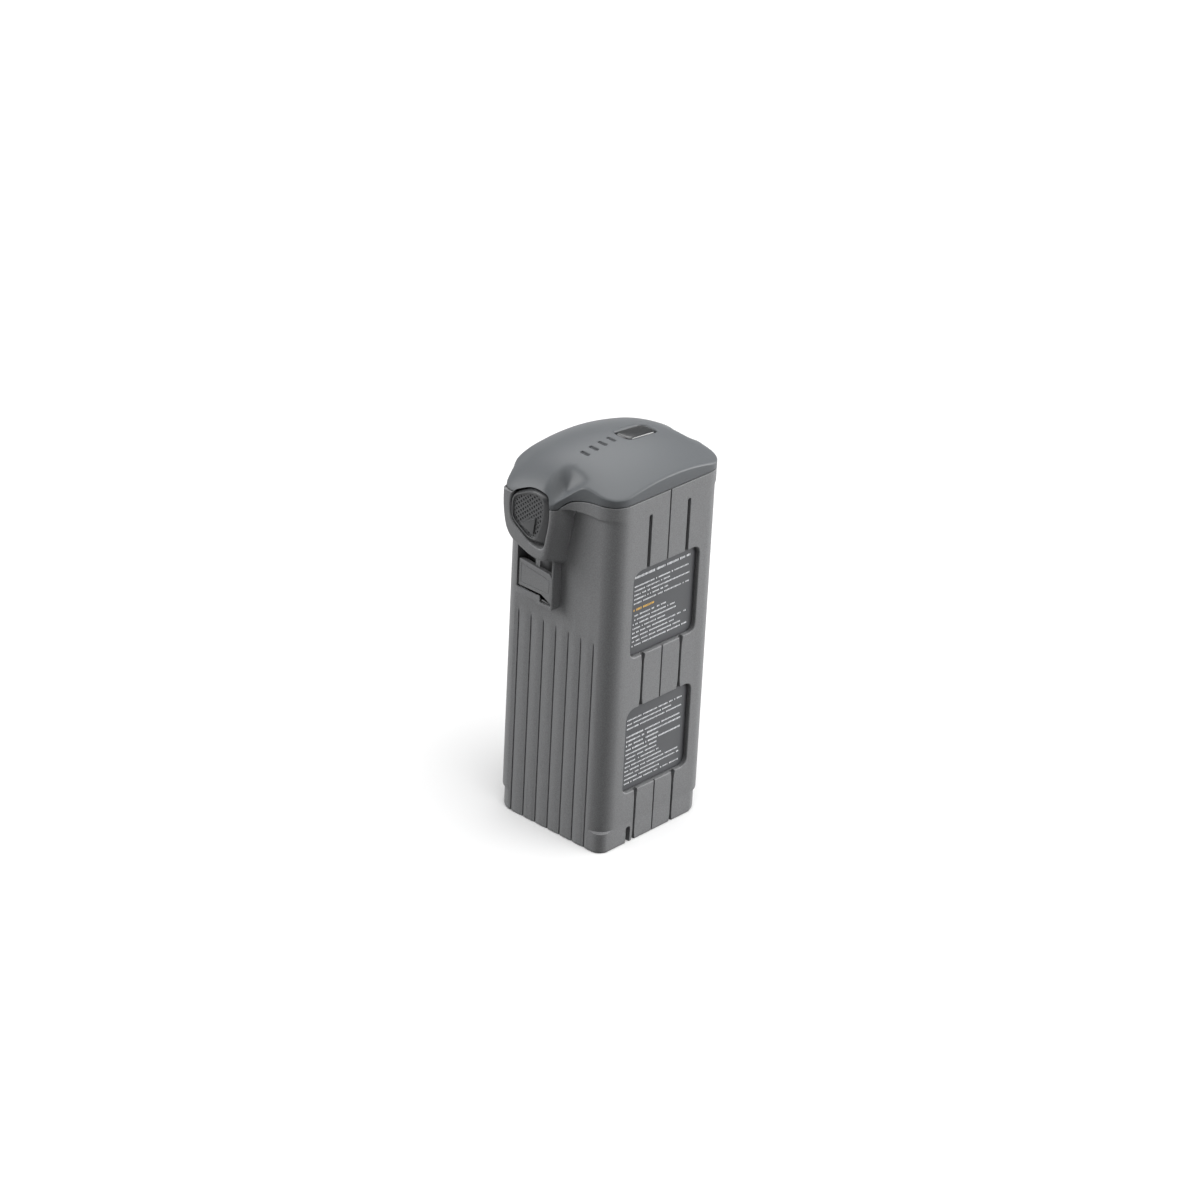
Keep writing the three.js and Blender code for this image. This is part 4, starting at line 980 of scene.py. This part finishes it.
def printed_rows():
    """Rows of dashes of uneven length with gaps between them, like greeked lines of small print."""
    tree, given, made = node_group(
        "printed_rows",
        [
            ("Width", "NodeSocketFloat", 24 * MM),
            ("Columns", "NodeSocketInt", 40),
            ("Rows", "NodeSocketInt", 16),
            ("Row Pitch", "NodeSocketFloat", 1.5 * MM),
            ("Dash", "NodeSocketFloat", 0.8 * MM),
            ("Seed", "NodeSocketInt", 1),
            ("Material", "NodeSocketMaterial", None),
        ],
    )
    nodes, links = tree.nodes, tree.links

    def value_of(operation, a, b):
        step = nodes.new("ShaderNodeMath")
        step.operation = operation
        for socket, source in zip(step.inputs, (a, b)):
            if isinstance(source, (int, float)):
                socket.default_value = source
            else:
                links.new(source, socket)
        return step.outputs[0]

    grid = nodes.new("GeometryNodeMeshGrid")
    links.new(given.outputs["Columns"], grid.inputs["Vertices X"])
    links.new(given.outputs["Rows"], grid.inputs["Vertices Y"])
    links.new(given.outputs["Width"], grid.inputs["Size X"])
    span = value_of("MULTIPLY", given.outputs["Row Pitch"], value_of("SUBTRACT", given.outputs["Rows"], 1))
    links.new(span, grid.inputs["Size Y"])
    index = nodes.new("GeometryNodeInputIndex").outputs[0]
    row = value_of("MODULO", index, given.outputs["Rows"])
    column = value_of("FLOOR", value_of("DIVIDE", index, given.outputs["Rows"]), 0)

    def chance(low, high, on, shift):
        pick = nodes.new("FunctionNodeRandomValue")
        pick.data_type = "FLOAT"
        pick.inputs[2].default_value = low
        pick.inputs[3].default_value = high
        links.new(on, pick.inputs["ID"])
        links.new(value_of("ADD", given.outputs["Seed"], shift), pick.inputs["Seed"])
        return pick.outputs[1]

    length = value_of("MULTIPLY", chance(0.5, 1.3, row, 0), given.outputs["Columns"])
    past_end = value_of("GREATER_THAN", column, length)
    space = value_of("LESS_THAN", chance(0, 1, index, 7), 0.11)
    gone = value_of("MAXIMUM", past_end, space)
    trim = nodes.new("GeometryNodeDeleteGeometry")
    trim.domain = "POINT"
    points = nodes.new("GeometryNodeMeshToPoints")
    links.new(grid.outputs["Mesh"], points.inputs["Mesh"])
    links.new(points.outputs[0], trim.inputs["Geometry"])
    links.new(gone, trim.inputs["Selection"])
    dash = nodes.new("GeometryNodeMeshCube")
    size = nodes.new("ShaderNodeCombineXYZ")
    size.inputs["X"].default_value = 0.46 * MM
    links.new(given.outputs["Dash"], size.inputs["Y"])
    size.inputs["Z"].default_value = 0.04 * MM
    links.new(size.outputs[0], dash.inputs["Size"])
    place = nodes.new("GeometryNodeInstanceOnPoints")
    links.new(trim.outputs[0], place.inputs["Points"])
    links.new(dash.outputs["Mesh"], place.inputs["Instance"])
    stretch = nodes.new("ShaderNodeCombineXYZ")
    links.new(chance(0.55, 1.0, index, 3), stretch.inputs["X"])
    links.new(chance(0.75, 1.0, index, 5), stretch.inputs["Y"])
    stretch.inputs["Z"].default_value = 1
    links.new(stretch.outputs[0], place.inputs["Scale"])
    return ended(tree, given, made, place.outputs[0])


film = grained("label_film", (0.044, 0.046, 0.050), 0.42, grain=0.004, size=0.5, speckle=0.03)
ink = grained("label_ink", (0.60, 0.61, 0.63), 0.5, grain=0.001, size=0.3, speckle=0.05)
amber_ink = grained("amber_ink", (0.62, 0.36, 0.06), 0.5, grain=0.001, size=0.3, speckle=0.05)
rows_tree = printed_rows()
# Each block of print: rows, its distance from the top, row pitch, height of a dash, and its ink.
upper_print = (
    (1, 2.2, 1.5, 0.8, ink),
    (5, 5.2, 1.4, 0.5, ink),
    (1, 12.9, 1, 0.75, amber_ink),
    (8, 14.8, 1.42, 0.5, ink),
)
lower_print = ((3, 4.0, 1.45, 0.5, ink), (4, 9.6, 1.5, 0.6, ink), (8, 15.6, 1.42, 0.5, ink))
for label, seed, blocks in (("upper_label", 3, upper_print), ("lower_label", 11, lower_print)):
    low, high = cad_mm(label)
    left, right, foot, head = low[0], high[0], low[2], high[2]
    loop = outline([(left, foot, 3), (right, foot, 3), (right, head, 3), (left, head, 4)])
    rings = [along_y(loop, high[1]), along_y(loop, low[1] + 0.1)]
    rings += [along_y(grown(loop, -0.08), low[1] + 0.02), along_y(grown(loop, -0.2), low[1])]
    sheet = lofted(f"{label}_film", rings)
    smooth(sheet)
    dress(sheet, film, "label_film", "pack", label)
    for k, (rows, down, pitch, dash, coat) in enumerate(blocks):
        width = 23.5 if coat is ink else 9.0
        print_rows = grown_from(
            rows_tree,
            f"{label}_print_{k + 1}",
            Width=width * MM,
            Columns=round(width / 0.56),
            Rows=rows,
            Row_Pitch=pitch * MM,
            Dash=dash * MM,
            Seed=seed + k,
        )
        print_rows.data.transform(Matrix.Rotation(math.pi / 2, 4, "X"))
        centre = Vector((left + 1.7 + width / 2, low[1], head - down - (rows - 1) * pitch / 2))
        print_rows.data.transform(Matrix.Translation(centre * MM))
        dress(print_rows, coat, "label_film", "pack")

# ---- Inside --------------------------------------------------------------------------------------
# What the sleeve holds: pouch cells in foil with foam between them, frames, the boards and their
# parts, springs and leads. Each keeps the frame's own shape and takes its material here.
inside = {
    "lens_plastic": grained("lens_plastic", (0.03, 0.032, 0.035), 0.2, grain=0.001, speckle=0.05),
    "frame_plastic": grained("frame_plastic", (0.02, 0.02, 0.021), 0.5, speckle=0.15),
    "pouch_foil": grained("pouch_foil", (0.55, 0.56, 0.58), 0.3, grain=0.05, size=1.5, speckle=0.06),
    "foam": grained("foam", (0.03, 0.03, 0.03), 0.9, grain=0.15, size=0.6, speckle=0.4),
    "board_laminate": grained("board_laminate", (0.02, 0.09, 0.045), 0.45, size=0.6, speckle=0.2),
    "chip_epoxy": grained("chip_epoxy", (0.012, 0.012, 0.013), 0.4, speckle=0.2),
    "spring_steel": grained("spring_steel", (0.5, 0.5, 0.51), 0.28, size=0.1, speckle=0.08),
    "nickel": grained("nickel", (0.6, 0.58, 0.53), 0.3, size=0.2, speckle=0.08),
    "contact_gold": grained("contact_gold", (0.75, 0.5, 0.15), 0.25, size=0.2, speckle=0.08),
    "flex_film": grained("flex_film", (0.4, 0.16, 0.04), 0.4, size=0.4, speckle=0.1),
}
for metal in ("pouch_foil", "spring_steel", "nickel", "contact_gold"):
    inside[metal].node_tree.nodes["Principled BSDF"].inputs["Metallic"].default_value = 1
for part in frame["record"]["subparts"]:
    node = frame["nodes"][part["node"]]
    material = inside.get(part["material_slot"])
    if material and not node.hide_render:
        node.data.materials.clear()
        node.data.materials.append(material)

# ---- Studio ----------------------------------------------------------------------------------------
# A white floor, soft light from above, from both sides and from behind, and the camera high on
# the left. A wash of its own keeps the floor white.
floor_mesh = bpy.data.meshes.new("studio_floor")
reach = 30
floor_corners = [(-reach, -reach, 0), (reach, -reach, 0), (reach, reach, 0), (-reach, reach, 0)]
floor_mesh.from_pydata(floor_corners, [], [(0, 1, 2, 3)])
floor = bpy.data.objects.new("studio_floor", floor_mesh)
bpy.context.scene.collection.objects.link(floor)
floor_white = bpy.data.materials.new("studio_white")
floor_white.use_nodes = True
floor_shader = floor_white.node_tree.nodes["Principled BSDF"]
floor_shader.inputs["Base Color"].default_value = (0.93, 0.93, 0.93, 1)
floor_shader.inputs["Roughness"].default_value = 0.9
floor_mesh.materials.append(floor_white)
floor.visible_diffuse = False

world = bpy.data.worlds.new("studio")
world.use_nodes = True
world.node_tree.nodes["Background"].inputs["Color"].default_value = (1, 1, 1, 1)
world.node_tree.nodes["Background"].inputs["Strength"].default_value = 0.2
bpy.context.scene.world = world
bpy.context.scene.view_settings.view_transform = "Standard"

# The side and back lights are flagged off the floor, so that its white stays even.
lit = bpy.data.collections.new("lit_by_softboxes")
for piece in bpy.context.scene.collection.all_objects:
    if piece.type == "MESH" and piece is not floor:
        lit.objects.link(piece)
for name, azimuth, elevation, spread, strength, on_floor in (
    ("overhead", -5, 72, 60, 2.2, True),
    ("right_softbox", 54, 18, 40, 4.8, False),
    ("left_softbox", -140, 22, 40, 3.0, False),
    ("back_softbox", 140, 56, 50, 2.2, False),
):
    lamp = bpy.data.lights.new(name, "SUN")
    lamp.energy = strength
    lamp.angle = math.radians(spread)
    holder = bpy.data.objects.new(name, lamp)
    a, e = math.radians(azimuth), math.radians(elevation)
    towards = Vector((math.sin(a) * math.cos(e), -math.cos(a) * math.cos(e), math.sin(e)))
    holder.rotation_euler = towards.to_track_quat("Z", "Y").to_euler()
    bpy.context.scene.collection.objects.link(holder)
    if not on_floor:
        holder.light_linking.receiver_collection = lit

wash = bpy.data.lights.new("floor_wash", "SUN")
wash.energy = 1.4
wash.angle = math.radians(80)
wash_holder = bpy.data.objects.new("floor_wash", wash)
bpy.context.scene.collection.objects.link(wash_holder)
floor_only = bpy.data.collections.new("lit_by_floor_wash")
floor_only.objects.link(floor)
wash_holder.light_linking.receiver_collection = floor_only

azimuth, elevation, roll = math.radians(-48.187), math.radians(26.992), math.radians(2.965)
distance, side_shift, up_shift = 1.2958, 0.0022, -0.0087
back = Vector(
    (
        math.sin(azimuth) * math.cos(elevation),
        -math.cos(azimuth) * math.cos(elevation),
        math.sin(elevation),
    )
)
across = Vector((math.cos(azimuth), math.sin(azimuth), 0))
up = back.cross(across)
right = across * math.cos(roll) + up * math.sin(roll)
above = up * math.cos(roll) - across * math.sin(roll)
place = Vector((0, 0, 0.06)) - right * side_shift - above * up_shift + back * distance
lens = bpy.data.cameras.new("camera")
lens.lens = 130.07
lens.sensor_width = 36
lens.clip_start = 0.1
lens.clip_end = 100
camera = bpy.data.objects.new("camera", lens)
camera.matrix_world = Matrix.Translation(place) @ Matrix((right, above, back)).transposed().to_4x4()
bpy.context.scene.collection.objects.link(camera)
bpy.context.scene.camera = camera
